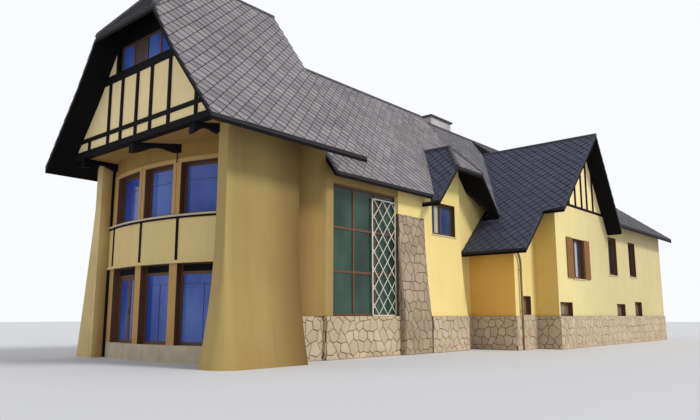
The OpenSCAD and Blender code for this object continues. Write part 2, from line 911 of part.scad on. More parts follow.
module upper_window_glass() {
    color([0.3, 0.4, 0.7, 0.6]) house() for (i = [-1 : 1]) at_bay(i, bow_r - bow_reveal)
        translate([-bay_w(i) / 2, 0, upper_win_z]) window_glass(bay_w(i), upper_win_h, 1);
}

jetty_y0 = near_wing_y - jetty_past;
jetty_y1 = far_wing_y + far_wing_t;

module jetty_beam() {
    color([0.13, 0.11, 0.1]) house() intersection() {
        box([gable_x, jetty_y0, jetty_z], [gable_x + gable_wall_t, jetty_y1,
            jetty_z + jetty_beam_h]);
        front_env(wall_top, wall_reach);
    }
}

// Foot of each bracket under the jetty, and its turn: at the far corner of the bow, at its
// pier next to the near bay, and on the near wing wall
bracket_from = gable_x + 60;
pier_at = bay_mid + (bay_pitch + (mid_bay_w - side_bay_w) / 2 / bow_r * 180 / PI) / 2;
brackets = [
    [bow_x - bow_r * cos(asin((far_wing_y - bow_y) / bow_r)), far_wing_y - 1.5 * bracket_w, 0],
    [bow_x - bow_r * cos(pier_at), bow_y - bow_r * sin(pier_at), bracket_turn],
    [near_wing_x, range_y + bracket_w / 2, bracket_turn]];

// A bracket's outline from its foot outwards: deep at both ends, with a curved hollow between
module bracket_side(l) {
    steps = 12;
    polygon([[bow_t / 2, jetty_z], [bow_t / 2, jetty_z - bracket_h],
        for (i = [0 : steps]) let (t = i / steps)
            [-l * t, jetty_z - bracket_h * (0.68 + 0.32 * cos(420 * t) + 0.2 * t)],
        [-l, jetty_z]]);
}

module jetty_brackets() {
    color([0.13, 0.11, 0.1]) house() difference() {
        for (b = brackets) translate([b[0], b[1], 0]) rotate([0, 0, -b[2]])
            along_y(-bracket_w / 2, bracket_w / 2)
                bracket_side((b[0] - bracket_from) / cos(b[2]) + bracket_w);
        box([0, 0, 0], [bracket_from, far, far]);
        bow_disc(bow_r + fit_gap, 0, far);
        box([near_wing_x - fit_gap, 0, 0], [far, range_y + near_flare / 3, far]);
    }
}

attic_y0 = front_y - attic_row_w / 2;

module gable_outline(step) {
    intersection() {
        box([gable_x + step, jetty_y0, jetty_z + jetty_beam_h],
            [gable_x + gable_wall_t, jetty_y1, far]);
        front_env(wall_top, wall_reach);
    }
}

module gable_panels() {
    color([0.83, 0.78, 0.56]) house() difference() {
        gable_outline(timber_step);
        box([0, attic_y0, attic_sill_z], [gable_x + gable_wall_t + 10, attic_y0 + attic_row_w,
            attic_sill_z + attic_win_h]);
    }
}

// Studs of the main gable, as distances from the ridge line; positive is the far side
stud_at = [-2740, -1420, -470, 320, 1190, 1940];
far_stud_at = 3120;

module gable_timbers() {
    half = timber_w / 2;
    color([0.13, 0.11, 0.1]) house() intersection() {
        union() {
            box([gable_x, 0, mid_rail_z - half], [gable_x + timber_step, far, mid_rail_z + half]);
            box([gable_x, 0, attic_sill_z - 2 * timber_w],
                [gable_x + timber_step, far, attic_sill_z]);
            for (y = stud_at) box([gable_x, front_y + y - half, jetty_z + jetty_beam_h],
                [gable_x + timber_step, front_y + y + half, attic_sill_z]);
            box([gable_x, front_y + far_stud_at - half, jetty_z + jetty_beam_h],
                [gable_x + timber_step, front_y + far_stud_at + half, mid_rail_z]);
            for (y = [attic_y0 - timber_w, attic_y0 + attic_row_w])
                box([gable_x, y, attic_sill_z], [gable_x + timber_step, y + timber_w, far]);
        }
        gable_outline(0);
    }
}

module attic_window_shape() {
    intersection() {
        translate([gable_x + timber_step + 60, attic_y0 + attic_row_w, attic_sill_z])
            rotate([0, 0, -90]) children();
        front_env(wall_top, wall_reach);
    }
}

module attic_window_frames() {
    color([0.45, 0.36, 0.25]) house() attic_window_shape()
        window_frame(attic_row_w, attic_win_h, 4);
}

module attic_window_glass() {
    color([0.3, 0.4, 0.7, 0.6]) house() attic_window_shape()
        window_glass(attic_row_w, attic_win_h, 4);
}

module front_rear_gable() {
    color([0.74, 0.62, 0.38]) house() intersection() {
        box([range_x - wall_t, range_y + wall_t, jetty_z + floor_t],
            [range_x, rear_y - wall_t, far]);
        front_env(wall_top, wall_reach);
    }
}

// Batter of the pier and the wall under the dormer: full at the plinth, nothing at pier_h
batter_steps = 6;
function batter_line(base, out, top) = concat(
    [[base - out, plinth_h]],
    [for (i = [0 : batter_steps]) let (t = i / batter_steps)
        [base - out * pow(1 - t, 1.8), plinth_h + (pier_h - plinth_h) * t]],
    [[base, top]]);

module stair_wall() {
    color([0.76, 0.62, 0.36]) house() intersection() {
        difference() {
            box([range_x, range_y, plinth_h], [pier_x, range_y + wall_t, far]);
            box([stair_x, 0, 0], [pier_x + eps, far, stair_head_z]);
        }
        range_env(wall_top, wall_reach);
    }
}

stair_win_h = stair_head_z - plinth_h;

module stair_window_frame() {
    color([0.36, 0.24, 0.16]) house() translate([stair_x, range_y + reveal, plinth_h]) {
        window_frame(stair_w, stair_win_h, 3);
        for (k = [1 : 2]) translate([0, 0, stair_win_h * k / 3 - frame_w / 2])
            stair_transom();
    }
}

// A cross bar in each of the stair window's lights
module stair_transom() {
    light = (stair_w - frame_w * 4) / 3;
    for (i = [0 : 2]) translate([frame_w + i * (light + frame_w), 0, 0])
        cube([light, (frame_d - glass_t) / 2, frame_w]);
}

module stair_window_glass() {
    color([0.15, 0.25, 0.2, 0.6]) house() translate([stair_x, range_y + reveal, plinth_h])
        window_glass(stair_w, stair_win_h, 3);
}

module pier_front(top) {
    polygon(concat([[range_y + wall_t, 0], [range_y - batter, 0]],
        batter_line(range_y, batter, top), [[range_y + wall_t, top]]));
}

module stone_pier() {
    color([0.72, 0.62, 0.5]) house() along_x(pier_x, bay_x) pier_front(pier_h);
}

// Windows of a wall: distance from its left end, sill, width, height and number of lights
bay_windows = [[540, 4520, 1700, 1280, 2]];

module bay_wall() {
    color([0.93, 0.84, 0.55]) house() difference() {
        intersection() {
            along_x(pier_x, strip_x) pier_front(front_ridge_z);
            box([0, 0, plinth_h], [far, far, far]);
            union() {
                range_env(wall_top, wall_reach);
                dormer_env(wall_top, wall_reach);
            }
        }
        box([pier_x - eps, 0, 0], [bay_x, far, pier_h]);
        at_bay_wall() window_holes(bay_windows);
    }
}

// The set-back strip goes on over the annex, where an arch joins the rooms under it
annex_arch_z = 4100;

module strip_wall() {
    y = range_y + strip_back;
    color([0.88, 0.78, 0.48]) house() {
        difference() {
            intersection() {
                box([strip_x, y, plinth_h], [wing_x + wall_t, y + wall_t, far]);
                union() {
                    range_env(wall_top, wall_reach);
                    dormer_env(wall_top, wall_reach);
                }
            }
            cross_env(-fit_gap, 0);
            box([annex_x + wall_t, y - eps, 0], [far, y + wall_t + eps, annex_arch_z]);
        }
        intersection() {
            box([strip_x, y, plinth_h], [annex_x, y + wall_t, far]);
            cross_env(wall_top, wall_reach);
            range_env(wall_top, wall_reach);
        }
    }
}

annex_windows = [[700, plinth_h, 700, 820, 1]];
wing_windows = [
    [1700, 2980, 1300, 1770, 2],
    [6250, 3350, 1200, 1880, 1],
    [9300, 3400, 1100, 1820, 1],
    [120, plinth_h, 1300, 580, 1],
    [7000, plinth_h, 1250, 600, 1],
    [9800, plinth_h, 1150, 740, 1]];
// Windows of the rear wall and the end wall repeat the wing's
rear_pitch = 3600;
rear_count = 7;
rear_windows = [for (i = [0 : rear_count - 1]) [1400 + i * rear_pitch, 3350, 1200, 1700, 2]];
rear_cellar = [for (i = [0 : rear_count - 1]) [1450 + i * rear_pitch, plinth_h, 1100, 600, 1]];
end_windows = [for (i = [0 : 1]) [2300 + i * 3600, 3350, 1200, 1700, 2]];
loft_window = [[4100, 6900, 1200, 1200, 2]];

// Each wall's windows are placed in a frame where x runs along the wall from its left
// end, y runs into the wall from its outer face, and z is up
module at_annex() {
    translate([annex_x, annex_y, 0]) children();
}

module at_wing() {
    translate([wing_x, wing_y, 0]) children();
}

module at_bay_wall() {
    translate([bay_x, range_y, 0]) children();
}

module at_rear() {
    translate([wing_end, rear_y, 0]) rotate([0, 0, 180]) children();
}

module at_end() {
    translate([wing_end, wing_y, 0]) rotate([0, 0, 90]) children();
}

module window_holes(list) {
    for (w = list) translate([w[0], -cut_out, w[1]]) cube([w[2], cut_l, w[3]]);
}

module annex_wall() {
    color([0.86, 0.66, 0.34]) house() difference() {
        intersection() {
            union() {
                box([annex_x, annex_y, plinth_h],
                    [annex_x + wall_t, range_y + strip_back + wall_t, far]);
                box([annex_x, annex_y, plinth_h], [wing_x, annex_y + wall_t, far]);
            }
            cross_env(wall_top, wall_reach);
            box([0, 0, 0], [far, range_y + strip_back + wall_t, far]);
        }
        above_eaves() range_env(0, 0);
        at_annex() window_holes(annex_windows);
    }
}

module wing_front_wall() {
    color([0.9, 0.82, 0.54]) house() difference() {
        intersection() {
            union() {
                box([wing_x, wing_y, plinth_h], [wing_x + wall_t, annex_y + wall_t, far]);
                box([wing_x, wing_y, plinth_h], [wing_end, wing_y + wall_t, far]);
            }
            union() {
                cross_env(wall_top, wall_reach);
                wing_env(wall_top, wall_reach);
            }
            difference() {
                box([0, 0, 0], [far, far, far]);
                cross_gable_cut();
            }
        }
        at_wing() window_holes(wing_windows);
    }
}

// Space of the timbered part of the cross gable
module cross_gable_cut() {
    box([wing_x - eps, 0, cross_rail_z], [cross_x + cross_right_run, wing_y + wall_t, far]);
}

module cross_gable_panels() {
    color([0.88, 0.82, 0.56]) house() intersection() {
        box([wing_x, wing_y + timber_step, cross_rail_z],
            [cross_x + cross_right_run, wing_y + wall_t, far]);
        cross_env(wall_top, wall_reach);
    }
}

// Studs of the cross gable, as distances from its ridge line
cross_studs = [-1900, -1150, -400, 250, 1000];

module cross_gable_timbers() {
    half = timber_w / 2;
    color([0.13, 0.11, 0.1]) house() intersection() {
        union() {
            box([wing_x, wing_y, cross_rail_z], [far, wing_y + timber_step,
                cross_rail_z + timber_w]);
            for (x = cross_studs) box([cross_x + x - half, wing_y, cross_rail_z],
                [cross_x + x + half, wing_y + timber_step, far]);
        }
        box([wing_x, 0, 0], [cross_x + cross_right_run, far, far]);
        cross_env(wall_top, wall_reach);
    }
}

module wing_end_wall() {
    color([0.9, 0.82, 0.54]) house() difference() {
        intersection() {
            box([wing_end - wall_t, wing_y + wall_t, plinth_h], [wing_end, rear_y, far]);
            wing_env(wall_top, wall_reach);
        }
        at_end() window_holes(concat(end_windows, loft_window));
    }
}

module rear_wall() {
    color([0.9, 0.82, 0.54]) house() difference() {
        union() {
            intersection() {
                box([range_x, rear_y - wall_t, plinth_h], [wing_end - wall_t, rear_y, far]);
                union() {
                    range_env(wall_top, 0);
                    wing_env(wall_top, 0);
                }
            }
            intersection() {
                box([range_x - wall_t, rear_y - wall_t, plinth_h], [range_x, rear_y, far]);
                front_env(wall_top, 0);
            }
        }
        at_rear() window_holes(concat(rear_windows, rear_cellar));
    }
}

module plinth_run(lo, hi) {
    box([lo[0], lo[1], 0], [hi[0], hi[1], plinth_h]);
}

module plinth() {
    s = plinth_step;
    strip_y = range_y + strip_back;
    color([0.7, 0.6, 0.48]) house() {
        plinth_run([recess_x, range_y + 100], [range_x, range_y + wall_t]);
        plinth_run([range_x, range_y - s], [pier_x, range_y + wall_t]);
        plinth_run([bay_x, range_y - batter - s], [strip_x, range_y + wall_t]);
        plinth_run([strip_x, strip_y - s], [annex_x, strip_y + wall_t]);
        plinth_run([annex_x - s, annex_y - s], [annex_x + wall_t, strip_y + wall_t]);
        plinth_run([annex_x - s, annex_y - s], [wing_x, annex_y + wall_t]);
        plinth_run([wing_x - s, wing_y - s], [wing_x + wall_t, annex_y + wall_t]);
        plinth_run([wing_x - s, wing_y - s], [wing_end + s, wing_y + wall_t]);
        plinth_run([wing_end - wall_t, wing_y - s], [wing_end + s, rear_y + s]);
        plinth_run([range_x, rear_y - wall_t], [wing_end + s, rear_y + s]);
        plinth_run([range_x - wall_t, rear_y - wall_t], [range_x, rear_y]);
    }
}

// Frames or glass for every window in the flat walls
module side_windows(glass) {
    at_bay_wall() window_set(bay_windows, glass);
    at_annex() window_set(annex_windows, glass);
    at_wing() window_set(wing_windows, glass);
    at_rear() window_set(concat(rear_windows, rear_cellar), glass);
    at_end() window_set(concat(end_windows, loft_window), glass);
}

module window_set(list, glass) {
    for (w = list) translate([w[0], reveal, w[1]]) {
        if (glass) window_glass(w[2], w[3], w[4]);
        else window_frame(w[2], w[3], w[4]);
    }
}

module side_window_frames() {
    color([0.42, 0.28, 0.17]) house() side_windows(false);
}

module side_window_glass() {
    color([0.2, 0.25, 0.4, 0.6]) house() side_windows(true);
}

// Shutters fold flat against the wall on each side of the wing's first window. Their axis is
// over the jamb, in the middle of the shutter's thickness.
shutter_w = wing_windows[0][2] / 2 - leaf_gap;
shutter_h = wing_windows[0][3];
axis_out = shutter_gap + shutter_t / 2;
// Heights of the pintles, from the shutter's lower edge
pintle_at = [250, shutter_h - 250 - knuckle_h];
pintle_arm_h = 14;
pintle_notch_r = 22;

module at_shutter(side) {
    at_wing() translate([wing_windows[0][0] + (side < 0 ? 0 : wing_windows[0][2]), -axis_out,
        wing_windows[0][1]]) mirror([side < 0 ? 0 : 1, 0, 0]) children();
}

module shutter(side) {
    at_shutter(side) difference() {
        union() {
            difference() {
                translate([-shutter_w - leaf_gap / 2, -shutter_t / 2, 0])
                    cube([shutter_w, shutter_t, shutter_h]);
                for (z = pintle_at) translate([0, 0, z - leaf_gap])
                    cylinder(r = pintle_notch_r, h = pintle_arm_h + knuckle_h + 3 * leaf_gap);
            }
            for (z = pintle_at) translate([0, 0, z + pintle_arm_h + pin_clear]) {
                cylinder(r = knuckle_r, h = knuckle_h);
                translate([-pintle_notch_r - 30, -4, 0]) cube([pintle_notch_r + 30, 8, knuckle_h]);
            }
        }
        for (z = pintle_at) translate([0, 0, z]) cylinder(r = pin_r + pin_clear, h = 200);
    }
}

module shutter_left() {
    color([0.5, 0.33, 0.18]) house() shutter(-1);
}

module shutter_right() {
    color([0.5, 0.33, 0.18]) house() shutter(1);
}

// Pintles on the wall: an arm with an upright pin that the shutter's eye drops over
module shutter_pintles() {
    color([0.2, 0.18, 0.17]) house() for (side = [-1, 1]) at_shutter(side) for (z = pintle_at)
        translate([0, 0, z]) {
            cylinder(r = pin_r, h = pintle_arm_h + knuckle_h + leaf_gap);
            translate([-pin_r - 2, 0, 0]) cube([2 * pin_r + 4, axis_out, pintle_arm_h]);
            cylinder(r = pin_r + 2, h = pintle_arm_h);
        }
}

// Room inside the front block, behind the bow
module front_inside(z0, z1) {
    difference() {
        intersection() {
            box([0, range_y, z0], [range_x, far_wing_y, z1]);
            bow_disc(bow_in - fit_gap, -eps, far);
        }
        near_wing_flare();
        box([recess_x, 0, 0], [far, range_y + wall_t, far]);
        box([range_x - wall_t, rear_y - wall_t, 0], [far, far, far]);
    }
}

// Room inside the long walls from x0 on, between two heights, with the annex or without it
module range_inside(x0, z0, z1, annex) {
    strip_in = range_y + strip_back + wall_t;
    annex_in = annex ? annex_x + wall_t : wing_x + wall_t;
    annex_front = annex ? annex_y + wall_t : strip_in;
    translate([0, 0, z0]) linear_extrude(z1 - z0) polygon([
        [x0, range_y + wall_t], [strip_x, range_y + wall_t], [strip_x, strip_in],
        [annex_in, strip_in], [annex_in, annex_front], [wing_x + wall_t, annex_front],
        [wing_x + wall_t, wing_y + wall_t], [wing_end - wall_t, wing_y + wall_t],
        [wing_end - wall_t, rear_y - wall_t], [x0, rear_y - wall_t]]);
}

module ground_floor() {
    color([0.6, 0.58, 0.55]) house() {
        front_inside(0, threshold_h);
        range_inside(range_x, 0, ground_floor_t, true);
    }
}

module upper_floors() {
    color([0.6, 0.5, 0.38]) house() {
        front_inside(front_floor_z - floor_t, front_floor_z);
        range_inside(pier_x, range_floor_z - floor_t, range_floor_z, true);
    }
}

module loft_floors() {
    color([0.6, 0.5, 0.38]) house() {
        intersection() {
            box([gable_x + gable_wall_t, jetty_y0, jetty_z], [range_x, jetty_y1,
                jetty_z + floor_t]);
            front_env(wall_top, 0);
            difference() {
                box([0, 0, 0], [far, far, far]);
                near_wing_space();
            }
        }
        range_inside(range_x, loft_z, loft_z + floor_t, false);
    }
}

// The walls of the front block, which its loft floor is cut back from
module near_wing_space() {
    box([near_wing_x, 0, 0], [recess_x, range_y, far]);
    box([recess_x, 0, 0], [far, range_y + wall_t, far]);
    box([far_wing_x, far_wing_y, 0], [far, far, far]);
    box([range_x - wall_t, rear_y - wall_t, 0], [far, far, far]);
}

chimney_x = wing_x + chimney_in;
// Distance of the chimney's front behind the wing's ridge
chimney_back = 50;
chimney_y = wing_ridge_y + chimney_back;
chimney_z = wing_ridge_z + chimney_h;

// The chimney's shaft, from below the roof up to the cap, with a gap round it
module chimney_space(gap) {
    box([chimney_x - gap, chimney_y - gap, wing_ridge_z - 2 * chimney_w],
        [chimney_x + chimney_l + gap, chimney_y + chimney_w + gap, chimney_z - cap_t]);
}

module chimney() {
    color([0.85, 0.8, 0.78]) house() difference() {
        chimney_space(0);
        wing_env(-fit_gap, 0);
        range_env(-fit_gap, 0);
    }
}

module chimney_cap() {
    out = 80;
    color([0.25, 0.24, 0.25]) house() box([chimney_x - out, chimney_y - out, chimney_z - cap_t],
        [chimney_x + chimney_l + out, chimney_y + chimney_w + out, chimney_z]);
}

pipe_r = 45;
pipe_out = plinth_step + pipe_r + 5;
pipe_top_z = 3500;
// Distance of the pipe from the annex's left end
pipe_in = 400;

// Rain pipe on the annex's front, held by clips
module downpipe() {
    color([0.45, 0.36, 0.22]) house() translate([annex_x + pipe_in, annex_y - pipe_out, 0]) {
        cylinder(r = pipe_r, h = pipe_top_z);
        for (z = [plinth_h + 200, pipe_top_z - 300]) translate([0, 0, z]) {
            cylinder(r = pipe_r + 6, h = 30);
            translate([-15, 0, 0]) cube([30, pipe_out, 30]);
        }
    }
}

near_wing_wall();
far_wing_wall();
recess_wall();
bow_threshold();
bow_lower_piers();
bow_band();
band_timbers();
bow_sill();
bow_upper_piers();
bow_head();
garden_window_frames();
garden_window_glass();
door_leaf_near();
door_leaf_far();
door_glass_near();
door_glass_far();
door_hinges();
upper_window_frames();
upper_window_glass();
jetty_beam();
jetty_brackets();
gable_panels();
gable_timbers();
attic_window_frames();
attic_window_glass();
front_rear_gable();
front_roof();
stair_wall();
stair_window_frame();
stair_window_glass();
stone_pier();
bay_wall();
strip_wall();
range_roof();
dormer_roof();
annex_wall();
wing_front_wall();
wing_end_wall();
rear_wall();
cross_gable_panels();
cross_gable_timbers();
cross_gable_roof();
wing_roof();
ridge_caps();
soffits();
plinth();
side_window_frames();
side_window_glass();
shutter_left();
shutter_right();
shutter_pintles();
ground_floor();
upper_floors();
loft_floors();
chimney();
chimney_cap();
downpipe();
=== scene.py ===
"""Looks of the half timbered house, in metres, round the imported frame.

Places are written in the site's own coordinates, as in the part's source: x from the main
gable's verge, y from the cross gable's verge, z from the ground. SITE takes them to the frame.
"""
import math

import bpy
import numpy as np
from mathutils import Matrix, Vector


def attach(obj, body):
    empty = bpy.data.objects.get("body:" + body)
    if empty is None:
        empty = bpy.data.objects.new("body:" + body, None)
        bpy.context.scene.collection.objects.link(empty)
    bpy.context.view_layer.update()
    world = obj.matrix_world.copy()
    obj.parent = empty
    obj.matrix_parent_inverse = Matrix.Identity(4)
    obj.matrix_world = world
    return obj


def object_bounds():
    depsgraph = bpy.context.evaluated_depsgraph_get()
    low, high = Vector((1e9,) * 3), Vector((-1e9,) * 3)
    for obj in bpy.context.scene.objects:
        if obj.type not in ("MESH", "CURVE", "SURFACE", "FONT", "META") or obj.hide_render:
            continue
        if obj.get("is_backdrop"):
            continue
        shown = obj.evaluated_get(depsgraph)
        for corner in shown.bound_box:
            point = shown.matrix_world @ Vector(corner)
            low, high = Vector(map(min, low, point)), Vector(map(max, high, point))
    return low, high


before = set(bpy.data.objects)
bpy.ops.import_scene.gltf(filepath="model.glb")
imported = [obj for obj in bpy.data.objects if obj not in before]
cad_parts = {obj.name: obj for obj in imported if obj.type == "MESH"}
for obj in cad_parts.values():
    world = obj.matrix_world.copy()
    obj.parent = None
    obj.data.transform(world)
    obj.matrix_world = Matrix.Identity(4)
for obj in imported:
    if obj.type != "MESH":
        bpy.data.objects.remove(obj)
cad_lo, cad_hi = (np.array(corner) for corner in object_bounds())

SITE = np.array([16.14, 5.715, 0.0])
UP = np.array([0.0, 0.0, 1.0])
NORTH, SOUTH, EAST, WEST = np.array([[0, 1, 0], [0, -1, 0], [1, 0, 0], [-1, 0, 0]], float)

# ---- stations and heights ----
RECESS_X, RANGE_X = 4.03, 5.62
PIER_X, BAY_X, STRIP_X = 9.48, 11.14, 13.74
ANNEX_X, WING_X, WING_END, HOUSE_L = 14.88, 16.78, 31.78, 32.28
WING_Y, ANNEX_Y, RANGE_Y, REAR_Y = 0.70, 1.70, 3.50, 10.40
STRIP_Y = RANGE_Y + 0.26
PLINTH_Z, PIER_TOP = 1.35, 5.03
REVEAL = 0.16
FRAME_W = FRAME_D = 0.08

# ---- bow ----
BOW_X, BOW_Y, BOW_R = 10.76, 7.83, 9.0
BAY_PITCH, BAY_MID = math.radians(11.9), math.radians(4.7)
BAY_W = {-1: 1.70, 0: 1.39, 1: 1.70}
BOW_REVEAL = 0.24
THRESHOLD, GARDEN_HEAD, TRANSOM = 0.50, 2.90, 0.30
UPPER_SILL, UPPER_HEAD = 4.355, 5.98
JETTY_Z = 6.55
SURROUND_W = 0.13               # plaster surround of the upper windows
CELLAR_TOP = 2.2                # the low windows end under this height


# ==== meshes ====

def put(name, data):
    """Makes an object of the data and links it to the scene."""
    made = bpy.data.objects.new(name, data)
    bpy.context.scene.collection.objects.link(made)
    return made


def add_piece(name, points, faces, finish, body="house", tint=None, smooth=False):
    """One joined mesh from site points (N x 3) and a list of face arrays (M x corners)."""
    points = np.asarray(points, float).reshape(-1, 3) - SITE
    groups = [np.asarray(f, np.int64).reshape(len(f), -1) for f in faces if len(f)]
    corners = np.concatenate([g.ravel() for g in groups])
    sizes = np.concatenate([np.full(len(g), g.shape[1]) for g in groups])
    mesh = bpy.data.meshes.new(name)
    mesh.vertices.add(len(points))
    mesh.vertices.foreach_set("co", points.ravel())
    mesh.loops.add(len(corners))
    mesh.loops.foreach_set("vertex_index", corners.astype(np.int32))
    mesh.polygons.add(len(sizes))
    starts = np.concatenate([[0], np.cumsum(sizes)[:-1]]).astype(np.int32)
    mesh.polygons.foreach_set("loop_start", starts)
    mesh.update(calc_edges=True)
    mesh.validate()
    mesh.polygons.foreach_set("use_smooth", [smooth] * len(mesh.polygons))
    if tint is not None:
        store = mesh.attributes.new("tint", "FLOAT", "POINT")
        store.data.foreach_set("value", np.asarray(tint, np.float32))
    piece = put(name, mesh)
    mesh.materials.append(finish)
    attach(piece, body)


BOX_FACES = np.array([[0, 3, 2, 1], [4, 5, 6, 7], [0, 1, 5, 4],
                      [1, 2, 6, 5], [2, 3, 7, 6], [3, 0, 4, 7]])


def block_faces(count):
    """Six quads for each of count blocks of eight points."""
    return (BOX_FACES[None] + 8 * np.arange(count)[:, None, None]).reshape(-1, 4)


def boxes(lows, highs):
    """Blocks between corners: the eight points take each axis from the low or the high one."""
    lows, highs = np.atleast_2d(lows).astype(float), np.atleast_2d(highs).astype(float)
    pick = np.array([[0, 0, 0], [1, 0, 0], [1, 1, 0], [0, 1, 0],
                     [0, 0, 1], [1, 0, 1], [1, 1, 1], [0, 1, 1]])
    return lows[:, None] + pick[None] * (highs - lows)[:, None]


def square_axes(run, across):
    """Two unit vectors square to each run: across with its share along the run taken off,
    and the vector square to both."""
    run = run / np.linalg.norm(run, axis=1, keepdims=True)
    across = across - run * np.sum(across * run, axis=1, keepdims=True)
    across /= np.linalg.norm(across, axis=1, keepdims=True)
    return across, np.cross(run, across)


def bars(starts, ends, across, width, depth):
    """Square bars from start to end: width is laid along the across vector and depth along
    the vector square to both, each half to either side."""
    starts, ends = np.atleast_2d(starts).astype(float), np.atleast_2d(ends).astype(float)
    across, third = square_axes(ends - starts, np.asarray(across, float))
    a, b = across * width / 2, third * depth / 2
    ring = [-a - b, a - b, a + b, -a + b]
    return np.stack([starts + r for r in ring] + [ends + r for r in ring], axis=1)


def add_blocks(name, blocks, finish, body="house"):
    """One mesh from a list of block arrays."""
    points = np.concatenate([b.reshape(-1, 8, 3) for b in blocks])
    add_piece(name, points, [block_faces(len(points))], finish, body)


def sweep(outline, path, across):
    """Carries a closed outline (k x 2) along a path: outline x goes along the across vector
    and outline y along the vector square to it and to the path. Ends are closed."""
    across, third = square_axes(np.gradient(path, axis=0), np.asarray(across, float))
    grid = (path[:, None] + outline[None, :, :1] * across[:, None]
            + outline[None, :, 1:] * third[:, None])
    n, k = len(path), len(outline)
    i, j = np.meshgrid(np.arange(n - 1), np.arange(k), indexing="ij")
    nxt = (j + 1) % k
    sides = np.stack([i * k + j, (i + 1) * k + j, (i + 1) * k + nxt, i * k + nxt], -1)
    return grid.reshape(-1, 3), [sides.reshape(-1, 4), [np.arange(k)],
                                 [(n - 1) * k + np.arange(k)[::-1]]]


def bay_point(bay, radius, along, inward, z):
    """A point on a bay of the bow: along runs with the wall, inward from the radius."""
    a = bay * BAY_PITCH - BAY_MID
    p, q = -radius + np.asarray(inward), -np.asarray(along)
    x = BOW_X + p * np.cos(a) + q * np.sin(a)
    y = BOW_Y - p * np.sin(a) + q * np.cos(a)
    return np.stack(np.broadcast_arrays(x, y, np.asarray(z, float)), -1)


# ==== materials ====

class Graph:
    """Adds shader nodes to a tree and joins them; an input takes a socket or a plain value."""

    def __init__(self, tree):
        self.tree = tree

    def add(self, kind, inputs=None, **settings):
        made = self.tree.nodes.new("ShaderNode" + kind)
        for key, value in settings.items():
            setattr(made, key, value)
        for key, value in (inputs or {}).items():
            self.feed(made.inputs[key], value)
        return made

    def feed(self, socket, value):
        if isinstance(value, bpy.types.NodeSocket):
            self.tree.links.new(value, socket)
        else:
            socket.default_value = value

    def group(self, tree, **inputs):
        """Places a node group; an underscore in a label stands for a space."""
        made = self.add("Group", node_tree=tree)
        for label, value in inputs.items():
            self.feed(made.inputs[label.replace("_", " ")], value)
        return made.outputs

    def place(self, where):
        return self.add("SeparateXYZ", {"Vector": where}).outputs

    def mix(self, factor, a, b, blend="MIX"):
        made = self.add("Mix", data_type="RGBA", blend_type=blend)
        for index, value in ((0, factor), (6, a), (7, b)):
            self.feed(made.inputs[index], value)
        return made.outputs[2]

    def math(self, operation, a, b=0.0, clamp=False):
        made = self.add("Math", operation=operation, use_clamp=clamp)
        self.feed(made.inputs[0], a)
        self.feed(made.inputs[1], b)
        return made.outputs[0]

    def noise(self, vector, scale, detail=4.0, rough=0.55):
        return self.add("TexNoise", {"Vector": vector, "Scale": scale, "Detail": detail,
                                     "Roughness": rough}).outputs["Fac"]

    def stretch(self, vector, scale):
        return self.add("Mapping", {"Vector": vector, "Scale": scale}).outputs["Vector"]

    def ramp(self, factor, low, high):
        """Maps factor from low..high to 0..1, held at the ends."""
        return self.add("MapRange", {"Value": factor, "From Min": low, "From Max": high},
                        clamp=True).outputs["Result"]


def make_group(name, inputs, fill):
    """A shader node group that takes named inputs and puts out a colour and a height; fill
    makes its nodes from (graph, inputs) and returns the two."""
    tree = bpy.data.node_groups.new(name, "ShaderNodeTree")
    for side, sockets in (("INPUT", inputs), ("OUTPUT", {"Color": "Color", "Height": "Float"})):
        for label, kind in sockets.items():
            tree.interface.new_socket(label, in_out=side, socket_type="NodeSocket" + kind)
    entry, leave = tree.nodes.new("NodeGroupInput"), tree.nodes.new("NodeGroupOutput")
    graph = Graph(tree)
    for label, value in fill(graph, entry.outputs).items():
        graph.feed(leave.inputs[label], value)
    return tree


def fill_weathering(g, given):
    """Colour drifts between base and stain in soft clouds, upright streaks and a splash
    zone over the ground; height is fine grit over slow waves of the trowel."""
    where = given["Vector"]
    clouds = g.noise(where, given["Cloud Scale"], 5.0, 0.6)
    streaks = g.noise(g.stretch(where, (2.2, 2.2, 0.16)), 1.6, 4.0, 0.6)
    splash = g.ramp(g.place(where)["Z"], 1.1, 0.0)
    mask = g.math("ADD", g.ramp(clouds, 0.42, 0.75), g.ramp(streaks, 0.52, 0.80), True)
    mask = g.math("MULTIPLY", mask, given["Amount"])
    mask = g.math("ADD", mask, g.math("MULTIPLY", splash, given["Splash"]), True)
    color = g.mix(mask, given["Base"], given["Stain"])
    grit = g.noise(where, 95.0, 3.0, 0.7)
    waves = g.noise(where, 4.5, 3.0, 0.5)
    height = g.math("ADD", g.math("MULTIPLY", grit, 0.35), waves)
    return {"Color": color, "Height": height}


def fill_grain(g, given):
    """Fibres: noise drawn out along the grain, and slow bands across it, between two browns."""
    where = given["Vector"]
    fibres = g.noise(where, 14.0, 6.0, 0.65)
    bands = g.noise(where, 2.2, 2.0, 0.5)
    blend = g.math("ADD", g.math("MULTIPLY", fibres, 0.65), g.math("MULTIPLY", bands, 0.35))
    blend = g.ramp(blend, 0.32, 0.68)
    return {"Color": g.mix(blend, given["Dark"], given["Light"]), "Height": fibres}


